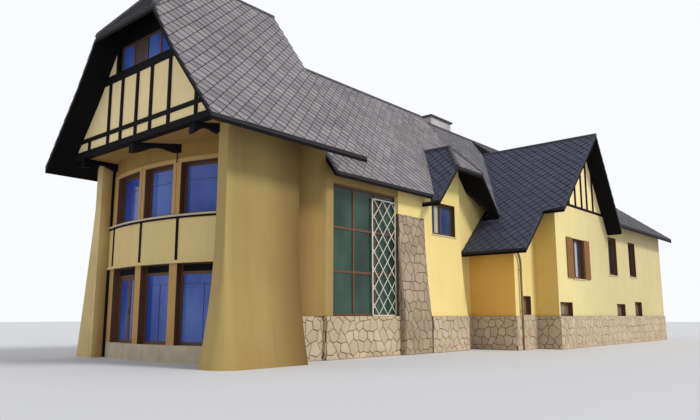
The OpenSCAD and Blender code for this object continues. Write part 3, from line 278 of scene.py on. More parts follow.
def fill_piecewise(g, given):
    """A piece's own shade: its tint attribute picks between two colours and, at the top of
    its range, a third; clouds of noise drift over it."""
    tint = g.add("Attribute", attribute_name="tint").outputs["Fac"]
    where = given["Vector"]
    clouds = g.noise(where, given["Cloud Scale"], 5.0, 0.6)
    fine = g.noise(where, 60.0, 3.0, 0.7)
    color = g.mix(tint, given["First"], given["Second"])
    color = g.mix(g.math("MULTIPLY", g.ramp(tint, 0.72, 1.0), 0.6), color, given["Third"])
    color = g.mix(g.math("MULTIPLY", g.ramp(clouds, 0.35, 0.75), given["Drift"]), color,
                  given["Grime"])
    color = g.mix(g.math("MULTIPLY", fine, 0.18), color, given["Grime"])
    return {"Color": color, "Height": g.math("ADD", fine, g.math("MULTIPLY", clouds, 0.6))}


WEATHERING = make_group("weathering", {
    "Vector": "Vector", "Base": "Color", "Stain": "Color", "Cloud Scale": "Float",
    "Amount": "Float", "Splash": "Float"}, fill_weathering)
GRAIN = make_group("wood_grain", {"Vector": "Vector", "Dark": "Color", "Light": "Color"},
                   fill_grain)
PIECEWISE = make_group("piece_shades", {
    "Vector": "Vector", "First": "Color", "Second": "Color", "Third": "Color",
    "Grime": "Color", "Cloud Scale": "Float", "Drift": "Float"}, fill_piecewise)


def srgb(color):
    """A colour picked as 0..255 display values, as the linear colour that shaders take."""
    c = np.array(color) / 255.0
    c = np.where(c <= 0.04045, c / 12.92, ((c + 0.055) / 1.055) ** 2.4)
    return (*c.tolist(), 1.0)


def new_material(name, roughness, **shader_inputs):
    """A material with its own Principled shader; returns it with its graph and object place."""
    made = bpy.data.materials.new(name)
    made.use_nodes = True
    graph = Graph(made.node_tree)
    shader = made.node_tree.nodes["Principled BSDF"]
    shader.inputs["Roughness"].default_value = roughness
    for label, value in shader_inputs.items():
        shader.inputs[label.replace("_", " ")].default_value = value
    where = graph.add("TexCoord").outputs["Object"]
    return made, graph, shader, where


def bump(graph, shader, height, strength, distance):
    made = graph.add("Bump", {"Height": height, "Strength": strength, "Distance": distance})
    graph.feed(shader.inputs["Normal"], made.outputs["Normal"])


FACE_REACH = 0.004              # how near a face a point is to count as on it


def plaster(name, base, stain, amount, splash=0.25, scale=0.5, side=None, foot=None,
            light_and_shade_ramps=()):
    """Smooth render; base and stain are picked colours. side is the site x of an upright
    face given painted shade, and the linear colour that the coat is multiplied by there.
    foot is the height under which the coat has another picked colour, and that colour.
    The light and shade ramps, the last argument, list two places in site x and the linear
    colour that the coat is multiplied by from the second on, growing from nothing at the
    first: painted shade where that colour is below one, painted light where it is above."""
    made, g, shader, where = new_material(name, 0.88)
    skin = g.group(WEATHERING, Vector=where, Base=srgb(base), Stain=srgb(stain),
                   Cloud_Scale=scale, Amount=amount, Splash=splash)
    color, place = skin["Color"], g.place(where)
    # Painted shade: the upright face at site x side[0] is multiplied to a deeper colour
    if side:
        off = g.math("ABSOLUTE", g.math("SUBTRACT", place["X"], side[0] - SITE[0]))
        color = g.mix(g.math("LESS_THAN", off, FACE_REACH), color, side[1], "MULTIPLY")
    # Painted light and shade: the coat is multiplied along site x
    for start, end, shade in light_and_shade_ramps:
        reach = g.ramp(place["X"], start - SITE[0], end - SITE[0])
        color = g.mix(reach, color, shade, "MULTIPLY")
    if foot:
        color = g.mix(g.math("LESS_THAN", place["Z"], foot[0]), color, srgb(foot[1]))
    g.feed(shader.inputs["Base Color"], color)
    bump(g, shader, skin["Height"], 0.35, 0.006)
    return made


def timber(name, dark, light, stretch, roughness, **shader_inputs):
    """Wood whose fibres run along the axis that stretch squeezes."""
    made, g, shader, where = new_material(name, roughness, **shader_inputs)
    grain = g.group(GRAIN, Vector=g.stretch(where, stretch), Dark=srgb(dark),
                    Light=srgb(light))
    g.feed(shader.inputs["Base Color"], grain["Color"])
    bump(g, shader, grain["Height"], 0.4, 0.004)
    return made


def shaded_pieces(name, first, second, third, grime, scale, drift, roughness=0.85):
    """Tiles or stones of three shades with grime, one shade a piece from its tint."""
    made, g, shader, where = new_material(name, roughness)
    skin = g.group(PIECEWISE, Vector=where, First=srgb(first), Second=srgb(second),
                   Third=srgb(third), Grime=srgb(grime), Cloud_Scale=scale, Drift=drift)
    g.feed(shader.inputs["Base Color"], skin["Color"])
    bump(g, shader, skin["Height"], 0.5, 0.008)
    return made


def window_glass(name, deep, pale, cellar=None, blinds=()):
    """Glass with a painted reflection of the sky, in slow clouds between two blues. cellar is
    the colour of the panes under CELLAR_TOP. blinds lists what is seen behind the front
    windows: each is its two ends in site x and its colour, with soft upright folds."""
    made, g, shader, where = new_material(name, 0.08, Transmission_Weight=0.1,
                                          Specular_IOR_Level=0.25)
    clouds = g.noise(g.stretch(where, (0.6, 0.6, 0.35)), 1.1, 3.0, 0.5)
    color = g.mix(g.ramp(clouds, 0.35, 0.7), srgb(deep), srgb(pale))
    place = g.place(where)
    if cellar:
        color = g.mix(g.math("LESS_THAN", place["Z"], CELLAR_TOP), color, srgb(cellar))
    for start, end, shade in blinds:
        inside = g.math("GREATER_THAN", place["X"], start - SITE[0])
        for test in (g.math("LESS_THAN", place["X"], end - SITE[0]),
                     g.math("LESS_THAN", place["Y"], 0.0),
                     g.math("GREATER_THAN", place["Z"], CELLAR_TOP)):
            inside = g.math("MULTIPLY", inside, test)
        folds = g.noise(g.stretch(where, (16.0, 1.0, 0.3)), 1.0, 2.0, 0.4)
        cloth = g.mix(g.ramp(folds, 0.45, 1.0), srgb(shade), srgb(deep))
        color = g.mix(inside, color, cloth)
    g.feed(shader.inputs["Base Color"], color)
    return made


def plain_metal(name, color, wear, roughness, metallic):
    """Painted metal with small worn spots."""
    made, g, shader, where = new_material(name, roughness, Metallic=metallic)
    spots = g.ramp(g.noise(where, 18.0, 5.0, 0.65), 0.5, 0.75)
    g.feed(shader.inputs["Base Color"], g.mix(spots, srgb(color), srgb(wear)))
    bump(g, shader, spots, 0.25, 0.002)
    return made


YELLOW = plaster("yellow_render", (162, 138, 82), (138, 108, 56), 0.3)
# Painted shade darkens the near wing towards the recess corner; painted light brightens its left
# end
NEAR_YELLOW = plaster("near_wing_render", (162, 140, 84), (138, 108, 56), 0.3,
                      light_and_shade_ramps=((2.65, RECESS_X, (0.44, 0.36, 0.22, 1)),
                              (1.60, 1.10, (1.40, 1.45, 1.55, 1))))
# Painted shade: the far wing's render darkens from x 1.70 to 2.05, where it turns in towards the
# bow
FAR_YELLOW = plaster("far_yellow_render", (224, 202, 142), (178, 146, 86), 0.4,
                     light_and_shade_ramps=((1.70, 2.05, (0.62, 0.52, 0.38, 1)),))
# Painted shade: the recess wall's darker colour, deepening towards its left end
SHADED_RECESS_YELLOW = plaster("shaded_recess_render", (154, 127, 72), (130, 98, 50), 0.35,
                        light_and_shade_ramps=((5.2, 4.4, (0.56, 0.50, 0.34, 1)),))
DEEP_YELLOW = plaster("deep_yellow_render", (196, 160, 98), (162, 122, 66), 0.35)
# Painted shade under the jetty: the head is darker than the piers, with a lighter colour under
# the top of the window surrounds
HEAD_YELLOW = plaster("shaded_head_render", (158, 124, 62), (118, 86, 38), 0.4, 0.0,
                      foot=(UPPER_HEAD + SURROUND_W, (192, 158, 98)))
PALE_YELLOW = plaster("pale_yellow_render", (237, 217, 141), (210, 180, 104), 0.25)
# Painted shade: the annex's left-facing side is multiplied to a deeper orange
ANNEX_YELLOW = plaster("annex_render", (240, 218, 146), (212, 180, 104), 0.3,
                       side=(ANNEX_X, (0.95, 0.69, 0.37, 1)))
# Painted shade: the wing's left-facing side is multiplied to a deeper orange, and its front
# darkens to the right
WING_YELLOW = plaster("wing_render", (236, 220, 158), (210, 184, 116), 0.3,
                      side=(WING_X, (0.95, 0.77, 0.48, 1)),
                      light_and_shade_ramps=((17.6, 22.0, (0.78, 0.79, 0.86, 1)),))
CREAM = plaster("cream_panels", (250, 230, 174), (222, 194, 134), 0.25, 0.0)
BAND = plaster("cream_band", (228, 205, 142), (196, 166, 100), 0.25, 0.0)
PALE_STONE = plaster("pale_stone", (206, 196, 168), (160, 146, 118), 0.45, 0.2, 2.0)
CHIMNEY = plaster("pale_chimney", (197, 194, 197), (146, 138, 141), 0.6, 0.0, 1.2)
MORTAR = plaster("dark_mortar", (96, 80, 66), (64, 52, 44), 0.6, 0.3, 2.0)
SLAB = plaster("dark_slab", (70, 68, 74), (46, 44, 50), 0.5, 0.0, 2.0)
DULL = {"Specular_IOR_Level": 0.15}
TARRED = timber("tarred_timber", (7, 6, 9), (19, 16, 19), (6.0, 6.0, 0.5), 0.8, **DULL)
TARRED_FLAT = timber("tarred_rails", (7, 6, 9), (19, 16, 19), (6.0, 0.5, 6.0), 0.8,
                     **DULL)
SOFFIT = timber("tarred_soffit", (9, 9, 11), (17, 15, 17), (1.0, 9.0, 9.0), 0.9, **DULL)
BROWN = timber("brown_frame", (70, 45, 29), (112, 76, 48), (7.0, 7.0, 0.6), 0.6)
SHUTTER = timber("brown_shutter", (104, 66, 14), (142, 96, 26), (7.0, 7.0, 0.5), 0.7)
DARK_BOARD = timber("dark_board", (58, 42, 40), (98, 76, 70), (9.0, 9.0, 0.4), 0.7)
BOARDS = timber("floor_boards", (120, 88, 56), (164, 124, 84), (0.5, 8.0, 8.0), 0.5)
PIER_STONES = shaded_pieces("pier_stones", (182, 166, 138), (160, 142, 118),
                            (198, 182, 156), (104, 88, 72), 1.2, 0.35)
STONES = shaded_pieces("rubble_stones", (212, 192, 162), (190, 168, 140),
                       (222, 206, 180), (132, 114, 94), 1.2, 0.3)
RIDGE_TILES = shaded_pieces("ridge_tiles", (76, 73, 79), (62, 60, 67),
                            (90, 86, 90), (44, 42, 48), 1.5, 0.4, 0.8)
# Painted shadow: the half hip's tiles are near black
HIP_TILES_IN_SHADE = shaded_pieces("shaded_hip_tiles", (34, 34, 40), (25, 25, 30),
                          (42, 41, 47), (16, 16, 20), 0.5, 0.4, 0.9)
WING_TILES = shaded_pieces("wing_tiles", (122, 121, 128), (94, 93, 100),
                           (144, 140, 142), (66, 65, 72), 0.5, 0.4, 0.8)
TILES = shaded_pieces("weathered_tiles", (150, 146, 151), (112, 109, 116),
                      (176, 168, 166), (76, 73, 79), 0.5, 0.4, 0.8)
DARK_TILES = shaded_pieces("dark_tiles", (70, 74, 98), (52, 56, 80),
                           (88, 90, 108), (35, 36, 48), 0.5, 0.4, 0.75)
TILE_BED = shaded_pieces("tile_bed", (36, 34, 39), (36, 34, 39), (36, 34, 39),
                         (24, 22, 26), 1.0, 0.4)
# Painted reflections: blues of the sky in the window glass, and the green of plants in the stair
# window's glass
GLASS = window_glass("sky_reflection_glass", (52, 80, 174), (98, 128, 214))
DIM_GLASS = window_glass("dim_glass", (48, 62, 104), (84, 104, 148),
                         (134, 110, 90), ((12.12, 12.38, (206, 198, 166)),
                                          (18.94, 19.48, (206, 204, 208)),
                                          (22.94, 27.34, (46, 38, 40))))
GREEN_REFLECTION_GLASS = window_glass("plant_reflection_glass", (30, 52, 44), (62, 92, 78))
IRON = plain_metal("black_iron", (42, 38, 38), (82, 60, 46), 0.5, 0.6)
PIPE = plain_metal("pipe_paint", (132, 106, 70), (92, 74, 52), 0.45, 0.2)
WHITE_PAINT = plaster("white_paint", (228, 226, 214), (168, 164, 148), 0.4, 0.0, 3.0)

NODE_FINISH = {
    "near_wing_wall": NEAR_YELLOW, "far_wing_wall": FAR_YELLOW, "recess_wall": SHADED_RECESS_YELLOW,
    "bow_threshold": PALE_STONE, "bow_lower_piers": DEEP_YELLOW, "bow_band": BAND,
    "band_timbers": TARRED, "bow_sill": PALE_STONE, "bow_upper_piers": DEEP_YELLOW,
    "bow_head": HEAD_YELLOW, "garden_window_frames": BROWN, "garden_window_glass": GLASS,
    "door_leaf_near": BROWN, "door_leaf_far": BROWN, "door_glass_near": GLASS,
    "door_glass_far": GLASS, "door_hinges": IRON, "upper_window_frames": BROWN,
    "upper_window_glass": GLASS, "jetty_beam": TARRED_FLAT, "jetty_brackets": TARRED,
    "gable_panels": CREAM, "gable_timbers": TARRED, "attic_window_frames": BROWN,
    "attic_window_glass": GLASS, "front_rear_gable": YELLOW, "front_roof": TILE_BED,
    "stair_wall": YELLOW, "stair_window_frame": BROWN, "stair_window_glass": GREEN_REFLECTION_GLASS,
    "stone_pier": MORTAR, "bay_wall": PALE_YELLOW, "strip_wall": PALE_YELLOW,
    "range_roof": TILE_BED, "dormer_roof": TILE_BED, "annex_wall": ANNEX_YELLOW,
    "wing_front_wall": WING_YELLOW, "wing_end_wall": PALE_YELLOW, "rear_wall": PALE_YELLOW,
    "cross_gable_panels": CREAM, "cross_gable_timbers": TARRED, "cross_gable_roof": TILE_BED,
    "wing_roof": TILE_BED, "ridge_caps": RIDGE_TILES, "soffits": SOFFIT, "plinth": MORTAR,
    "side_window_frames": BROWN, "side_window_glass": DIM_GLASS, "shutter_left": SHUTTER,
    "shutter_right": SHUTTER, "shutter_pintles": IRON, "ground_floor": PALE_STONE,
    "upper_floors": BOARDS, "loft_floors": HEAD_YELLOW, "chimney": CHIMNEY,
    "chimney_cap": SLAB, "downpipe": PIPE,
}
for node_name, node_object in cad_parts.items():
    node_object.data.materials.clear()
    node_object.data.materials.append(NODE_FINISH[node_name])


# ==== roof tiles ====

TILE_W, TILE_H = 0.42, 0.44     # diagonals of a diamond tile, along the eave and up the slope
TILE_FILL = 0.945               # share of the diagonals; the rest is the dark joint
TILE_T, TILE_SINK = 0.020, 0.004
TILE_LIFT, LIFT_SHARE, LIFT_STRAY = 0.034, 0.55, 0.006
LEAST_TILE = 0.03               # a tile cut down to less is left out


def tile_face(base, inward, profile, left, right, seed):
    """Diamond tiles on one roof face. base is on the eave, inward the level direction up the
    slope, profile lists (run, rise) from the eave to the ridge, and left and right list
    (run, distance along the eave) of the face's sides. A tile at (u, v), v up the slope, is
    a flat diamond whose foot is lifted; its corners are held inside the two sides."""
    along = np.cross(inward, UP)
    run, rise = np.asarray(profile, float).T
    length = np.concatenate([[0], np.cumsum(np.hypot(np.diff(run), np.diff(rise)))])
    left, right = np.asarray(left, float), np.asarray(right, float)
    rows = np.arange(0, int(length[-1] / (TILE_H / 2)) + 2)
    low_u, high_u = left[:, 1].min(), right[:, 1].max()
    cols = np.arange(int(low_u / TILE_W) - 1, int(high_u / TILE_W) + 2)
    row, col = (a.ravel() for a in np.meshgrid(rows, cols, indexing="ij"))
    u = (col + 0.5 * (row % 2)) * TILE_W
    v = row * TILE_H / 2
    corner_u = np.array([0, 0.5, 0, -0.5]) * TILE_W * TILE_FILL
    corner_v = np.array([-0.5, 0, 0.5, 0]) * TILE_H * TILE_FILL
    us = u[:, None] + corner_u
    vs = np.clip(v[:, None] + corner_v, 0.0, length[-1])
    runs = np.interp(vs, length, run)
    keep_lo = np.interp(runs, left[:, 0], left[:, 1])
    keep_hi = np.interp(runs, right[:, 0], right[:, 1])
    held = np.clip(us, keep_lo, np.maximum(keep_lo, keep_hi))
    wide = held.max(1) - held.min(1)
    tall = vs.max(1) - vs.min(1)
    kept = (wide > LEAST_TILE) & (tall > LEAST_TILE)
    held, vs, runs, v = held[kept], vs[kept], runs[kept], v[kept]
    rises = np.interp(vs, length, rise)
    slope = np.interp(vs, (length[1:] + length[:-1]) / 2, np.diff(rise) / np.diff(run))
    steep = np.arctan(slope)
    normal = (-np.sin(steep)[..., None] * inward + np.cos(steep)[..., None] * UP)
    jitter = np.random.default_rng(seed).random((len(v), 3))
    lift = TILE_LIFT * (LIFT_SHARE - (vs - v[:, None]) / TILE_H) + LIFT_STRAY * jitter[:, :1]
    surface = (base + held[..., None] * along + runs[..., None] * inward + rises[..., None] * UP)
    top = surface + (TILE_T + lift)[..., None] * normal
    under = surface + (lift - TILE_SINK)[..., None] * normal
    points = np.clip(np.concatenate([under, top], axis=1), cad_lo + SITE, cad_hi + SITE)
    return points, np.repeat(jitter[:, 2], 8)


def add_tiles(name, faces, finish):
    """Joins the tiles of several roof faces into one piece."""
    parts = [tile_face(*face, seed=11 + i) for i, face in enumerate(faces)]
    points = np.concatenate([p for p, _ in parts])
    tint = np.concatenate([t for _, t in parts])
    add_piece(name, points, [block_faces(len(points))], finish, tint=tint)


# ---- roof lines, as in the part's source ----
FRONT_Y, FRONT_HALF, FRONT_EAVE, FRONT_END = 6.55, 4.505, 6.22, 5.93
LOWER_RUN, LOWER_SLOPE, UPPER_SLOPE = 1.90, 1.22, 1.45
HIP_Z, HIP_SLOPE = 9.97, 1.30
EAVE_Y, REAR_EAVE_Y, EAVE_Z, SLOPE = 3.10, 10.80, 5.92, 1.32
WING_ROOF_X, WING_EAVE_Y, WING_EAVE_Z, WING_RIDGE_Z, END_SLOPE = 16.30, 0.10, 5.82, 10.65, 1.2
DORMER_X, DORMER_Y, DORMER_HALF, DORMER_EAVE = 13.38, 2.70, 2.35, 5.65
DORMER_SLOPE, DORMER_HIP_Z = 1.15, 7.20
CROSS_X, CROSS_Z, CROSS_L, CROSS_R = 20.38, 9.72, 0.94, 1.57
RIGHT_RUN, LEFT_RUN, CATSLIDE_RUN, CATSLIDE_BACK = 2.70, 4.25, 6.12, 0.86
BACK_Y = 7.0                    # tiles on faces that look left are laid from here to the front
JUMP = 0.0001                   # run over which a face's side steps

# Front block: swept sides and a half hip over the main gable
knee_rise = LOWER_RUN * LOWER_SLOPE
front_rise = knee_rise + (FRONT_HALF - LOWER_RUN) * UPPER_SLOPE
front_profile = [(0, 0), (LOWER_RUN, knee_rise), (FRONT_HALF, front_rise)]
hip_rise = FRONT_EAVE + front_rise - HIP_Z
hip_run, hip_half = hip_rise / HIP_SLOPE, hip_rise / UPPER_SLOPE
hip_at = FRONT_HALF - hip_half
add_tiles("front_roof_tiles", [
    ((0, FRONT_Y - FRONT_HALF, FRONT_EAVE), NORTH, front_profile,
     [(0, 0), (hip_at, 0), (FRONT_HALF, hip_run)], [(0, FRONT_END), (FRONT_HALF, FRONT_END)]),
    ((FRONT_END, FRONT_Y + FRONT_HALF, FRONT_EAVE), SOUTH, front_profile,
     [(0, 0), (FRONT_HALF, 0)],
     [(0, FRONT_END), (hip_at, FRONT_END), (FRONT_HALF, FRONT_END - hip_run)]),
], TILES)
# The half hip's tiles, near black as painted shadow
add_tiles("front_hip_tiles", [
    ((0, FRONT_Y + hip_half, HIP_Z), EAST, [(0, 0), (hip_run, hip_rise)],
     [(0, 0), (hip_run, hip_half)], [(0, 2 * hip_half), (hip_run, hip_half)]),
], HIP_TILES_IN_SHADE)

# Long range: the dormer and the cross gable bound its front face
range_run = (REAR_EAVE_Y - EAVE_Y) / 2
range_profile = [(0, 0), (range_run, range_run * SLOPE)]
wing_rise = WING_RIDGE_Z - EAVE_Z
wing_run = wing_rise / SLOPE
end_run = (range_run * SLOPE - wing_rise) / END_SLOPE
dormer_ridge = DORMER_EAVE + DORMER_HALF * DORMER_SLOPE
valley_half, valley_run = ((dormer_ridge - EAVE_Z) / slope for slope in (DORMER_SLOPE, SLOPE))
add_tiles("range_roof_tiles", [
    ((0, EAVE_Y, EAVE_Z), NORTH, range_profile, [(0, RANGE_X), (range_run, RANGE_X)],
     [(0, DORMER_X - valley_half), (valley_run, DORMER_X), (range_run, DORMER_X)]),
    ((0, EAVE_Y, EAVE_Z), NORTH, range_profile,
     [(0, DORMER_X + valley_half), (valley_run, DORMER_X), (range_run, DORMER_X)],
     [(0, WING_ROOF_X), (wing_run, WING_ROOF_X), (range_run, WING_ROOF_X - end_run)]),
    ((WING_ROOF_X, REAR_EAVE_Y, EAVE_Z), SOUTH, range_profile,
     [(0, 0), (wing_run, 0), (range_run, end_run)],
     [(0, WING_ROOF_X - RANGE_X), (range_run, WING_ROOF_X - RANGE_X)]),
], TILES)

# Wing: behind the cross gable, right of it, and the rear
front_run = EAVE_Y + wing_run - WING_EAVE_Y
front_slope = (WING_RIDGE_Z - WING_EAVE_Z) / front_run
rear_run = REAR_EAVE_Y - EAVE_Y - wing_run
cross_run = (CROSS_Z - EAVE_Z) / SLOPE
cross_foot = CROSS_X - (CROSS_Z - EAVE_Z) / CROSS_L
low_rise = CROSS_Z - WING_EAVE_Z
add_tiles("wing_roof_tiles", [
    ((0, EAVE_Y, EAVE_Z), NORTH, [(0, 0), (wing_run, wing_rise)],
     [(0, WING_ROOF_X), (wing_run, WING_ROOF_X)],
     [(0, cross_foot), (cross_run, CROSS_X), (wing_run, CROSS_X)]),
    ((0, WING_EAVE_Y, WING_EAVE_Z), NORTH, [(0, 0), (front_run, front_run * front_slope)],
     [(0, CROSS_X + low_rise / CROSS_R), (low_rise / front_slope, CROSS_X),
      (front_run, CROSS_X)],
     [(0, HOUSE_L), (front_run, HOUSE_L)]),
    ((HOUSE_L, REAR_EAVE_Y, EAVE_Z), SOUTH, [(0, 0), (rear_run, wing_rise)],
     [(0, 0), (rear_run, 0)],
     [(0, HOUSE_L - WING_ROOF_X), (rear_run, HOUSE_L - WING_ROOF_X)]),
], WING_TILES)

# Dormer: two sides and a half hip; the valley lists (run, y) of its line on the long roof
dormer_profile = [(0, 0), (DORMER_HALF, DORMER_HALF * DORMER_SLOPE)]
dormer_hip = (dormer_ridge - DORMER_HIP_Z) / DORMER_SLOPE
dormer_side = DORMER_HALF - dormer_hip
dormer_valley = [(0, EAVE_Y), ((EAVE_Z - DORMER_EAVE) / DORMER_SLOPE, EAVE_Y),
                 (DORMER_HALF, EAVE_Y + valley_run)]
add_tiles("dormer_roof_tiles", [
    ((DORMER_X - DORMER_HALF, BACK_Y, DORMER_EAVE), EAST, dormer_profile,
     [(run, BACK_Y - y) for run, y in dormer_valley],
     [(0, BACK_Y - DORMER_Y), (dormer_side, BACK_Y - DORMER_Y),
      (DORMER_HALF, BACK_Y - DORMER_Y - dormer_hip)]),
], DARK_TILES)
add_tiles("dormer_side_tiles", [
    ((DORMER_X + DORMER_HALF, DORMER_Y, DORMER_EAVE), WEST, dormer_profile,
     [(0, 0), (dormer_side, 0), (DORMER_HALF, dormer_hip)],
     [(run, y - DORMER_Y) for run, y in dormer_valley]),
    ((DORMER_X - dormer_hip, DORMER_Y, DORMER_HIP_Z), NORTH,
     [(0, 0), (dormer_hip, dormer_hip * DORMER_SLOPE)],
     [(0, 0), (dormer_hip, dormer_hip)], [(0, 2 * dormer_hip), (dormer_hip, dormer_hip)]),
], TILES)

# Cross gable: a long left side that sweeps down over the annex, and a steep right side
cat_z, cat_step = CROSS_Z - CATSLIDE_RUN * CROSS_L, CATSLIDE_RUN - LEFT_RUN
right_z = CROSS_Z - RIGHT_RUN * CROSS_R
add_tiles("cross_gable_tiles", [
    ((CROSS_X - CATSLIDE_RUN, BACK_Y, cat_z), EAST,
     [(0, 0), (CATSLIDE_RUN, CATSLIDE_RUN * CROSS_L)],
     [(0, BACK_Y - STRIP_Y), (cat_step, BACK_Y - STRIP_Y),
      ((EAVE_Z - cat_z) / CROSS_L, BACK_Y - EAVE_Y),
      (CATSLIDE_RUN, BACK_Y - EAVE_Y - cross_run)],
     [(0, BACK_Y - CATSLIDE_BACK), (cat_step, BACK_Y - CATSLIDE_BACK),
      (cat_step + JUMP, BACK_Y), (CATSLIDE_RUN, BACK_Y)]),
    ((CROSS_X + RIGHT_RUN, 0, right_z), WEST, [(0, 0), (RIGHT_RUN, RIGHT_RUN * CROSS_R)],
     [(0, 0), (RIGHT_RUN, 0)],
     [(0, WING_EAVE_Y), ((WING_EAVE_Z - right_z) / CROSS_R, WING_EAVE_Y),
      (RIGHT_RUN, WING_EAVE_Y + low_rise / front_slope)]),
], DARK_TILES)


def dome(centre, radius, around=16, levels=5):
    """Half a ball: ring i of levels stands at the angle i / levels of a quarter turn, with
    radius cos and height sin of it, and the top is a point."""
    rise = np.linspace(0, math.pi / 2, levels + 1)[:-1]
    turn = np.linspace(0, 2 * math.pi, around, endpoint=False)
    flat = np.cos(rise)[:, None]
    rings = np.stack([flat * np.cos(turn), flat * np.sin(turn),
                      np.broadcast_to(np.sin(rise)[:, None], (levels, around))], -1)
    points = np.concatenate([rings.reshape(-1, 3), [[0, 0, 1]]]) * radius + np.asarray(centre)
    i, j = np.meshgrid(np.arange(levels - 1), np.arange(around), indexing="ij")
    nxt = (j + 1) % around
    sides = np.stack([i * around + j, i * around + nxt, (i + 1) * around + nxt,
                      (i + 1) * around + j], -1).reshape(-1, 4)
    last = (levels - 1) * around + np.arange(around)
    crown = np.stack([last, np.roll(last, -1), np.full(around, levels * around)], -1)
    return points, [sides, crown, [np.arange(around)[::-1]]]


# Rounded joints where the hips meet the ridges
JOINT_R, FRONT_JOINT_Z, DORMER_JOINT_Z, JOINT_TINT = 0.135, 12.27, 8.32, 0.4
for joint_name, joint_at in (
        ("front_ridge_joint", (hip_run, FRONT_Y, FRONT_JOINT_Z)),
        ("dormer_ridge_joint", (DORMER_X, DORMER_Y + dormer_hip, DORMER_JOINT_Z))):
    joint_points, joint_faces = dome(joint_at, JOINT_R)
    add_piece(joint_name, joint_points, joint_faces, RIDGE_TILES,
              tint=np.full(len(joint_points), JOINT_TINT), smooth=True)


# ==== rubble stones ====

STONE_W, STONE_R = 0.36, 0.23   # width of a cell and half its height
STRAY_U, STRAY_V = STONE_W * 0.62, STONE_R * 0.75   # range of a corner's random shift
KEYS_PER_M = 400                # corners that fall on one step of this grid are one corner
LEAST_STONE = 0.08
FOOT_IN, BROW_IN, LEAST_SHARE = 0.007, 0.022, 0.2
FOOT_REACH, BROW_REACH = 0.02, 0.04     # shorter spokes are drawn in as if they were as long
STONE_SUNK, STONE_OUT, OUT_STRAY, CROWN = 0.01, 0.016, 0.010, 0.006


def stone_field(place, width, height, seed):
    """Polygonal stones on a face. Cells are a honeycomb whose shared corners are shifted at
    random; each is drawn in from its joints, raised, and crowned in the middle. place takes
    arrays u (along), v (up) and h (out from the wall) to points."""
    rng = np.random.default_rng(seed)
    rows = np.arange(-1, int(height / (1.5 * STONE_R)) + 2)
    cols = np.arange(-2, int(width / STONE_W) + 2)
    row, col = (a.ravel() for a in np.meshgrid(rows, cols, indexing="ij"))
    centre = np.stack([(col + 0.5 * (row % 2)) * STONE_W, row * 1.5 * STONE_R], -1)
    side = 0.5 * STONE_W / STONE_R
    ring = np.array([[0, -1], [side, -0.5], [side, 0.5], [0, 1], [-side, 0.5], [-side, -0.5]])
    corners = centre[:, None] + ring * STONE_R
    keys, which = np.unique(np.round(corners.reshape(-1, 2) * KEYS_PER_M).astype(int), axis=0,
                            return_inverse=True)
    shift = (rng.random((len(keys), 2)) - 0.5) * np.array([STRAY_U, STRAY_V])
    corners = corners + shift[which.ravel()].reshape(corners.shape)
    corners = np.clip(corners, 0.0, np.array([width, height]))
    size = corners.max(1) - corners.min(1)
    corners = corners[(size > LEAST_STONE).all(1)]
    middle = corners.mean(1, keepdims=True)
    spokes = corners - middle
    reach = np.linalg.norm(spokes, axis=-1, keepdims=True)
    foot = middle + spokes * np.clip(1 - FOOT_IN / np.maximum(reach, FOOT_REACH),
                                     LEAST_SHARE, 1)
    brow = middle + spokes * np.clip(1 - BROW_IN / np.maximum(reach, BROW_REACH),
                                     LEAST_SHARE, 1)
    n = len(corners)
    top = STONE_OUT + OUT_STRAY * rng.random((n, 1))
    flat = np.concatenate([foot, brow, middle], axis=1)
    out = np.concatenate([np.full((n, 6), -STONE_SUNK), np.repeat(top, 6, 1), top + CROWN], 1)
    points = place(flat[..., 0], flat[..., 1], out)
    first = 13 * np.arange(n)[:, None]
    j, k = np.arange(6), (np.arange(6) + 1) % 6
    sides = (first[..., None] + np.stack([j, k, k + 6, j + 6], -1)).reshape(-1, 4)
    crown = (first[..., None] + np.stack([j + 6, k + 6, np.full(6, 12)], -1)).reshape(-1, 3)
    back = first + np.arange(6)[::-1]
    return points.reshape(-1, 3), [sides, crown, back], np.repeat(rng.random(n), 13)


def add_stones(name, fields, finish):
    """Joins several faces of stones into one piece."""
    points, groups, tints, total = [], [], [], 0
    for i, field in enumerate(fields):
        field_points, faces, tint = stone_field(*field, seed=40 + i)
        points.append(field_points)
        tints.append(tint)
        groups.append([group + total for group in faces])
        total += len(field_points)
    add_piece(name, np.concatenate(points), [np.concatenate(g) for g in zip(*groups)],
              finish, tint=np.concatenate(tints))


def flat_face(x, y, along):
    """Places stones on an upright face that runs along a level direction from a corner; the
    way out is to the right of that direction, seen from above."""
    corner = np.array([x, y, 0.0])
    out = np.cross(along, UP)
    return lambda u, v, h: (corner + u[..., None] * along + v[..., None] * UP
                            + h[..., None] * out)


BATTER, BATTER_BEND = 0.27, 1.8
SIDE_TOP = 4.2                  # the pier's side is too shallow for stones from here up


def pier_lean(v):
    """How far the pier stands out at the height v: BATTER (1 - t)^BATTER_BEND, where t goes
    from 0 at the plinth's top to 1 at the pier's."""
    t = np.clip((v - PLINTH_Z) / (PIER_TOP - PLINTH_Z), 0, 1)
    return BATTER * (1 - t) ** BATTER_BEND


def pier_front(u, v, h):
    """The pier's battered face: u runs along it from its left edge."""
    return np.stack([PIER_X + u, RANGE_Y - pier_lean(v) - h, v], -1)


def pier_side(u, v, h):
    """The pier's left side: u runs over its depth, which shrinks with the batter."""
    return np.stack([PIER_X - h, RANGE_Y - pier_lean(v) * u / BATTER, v], -1)


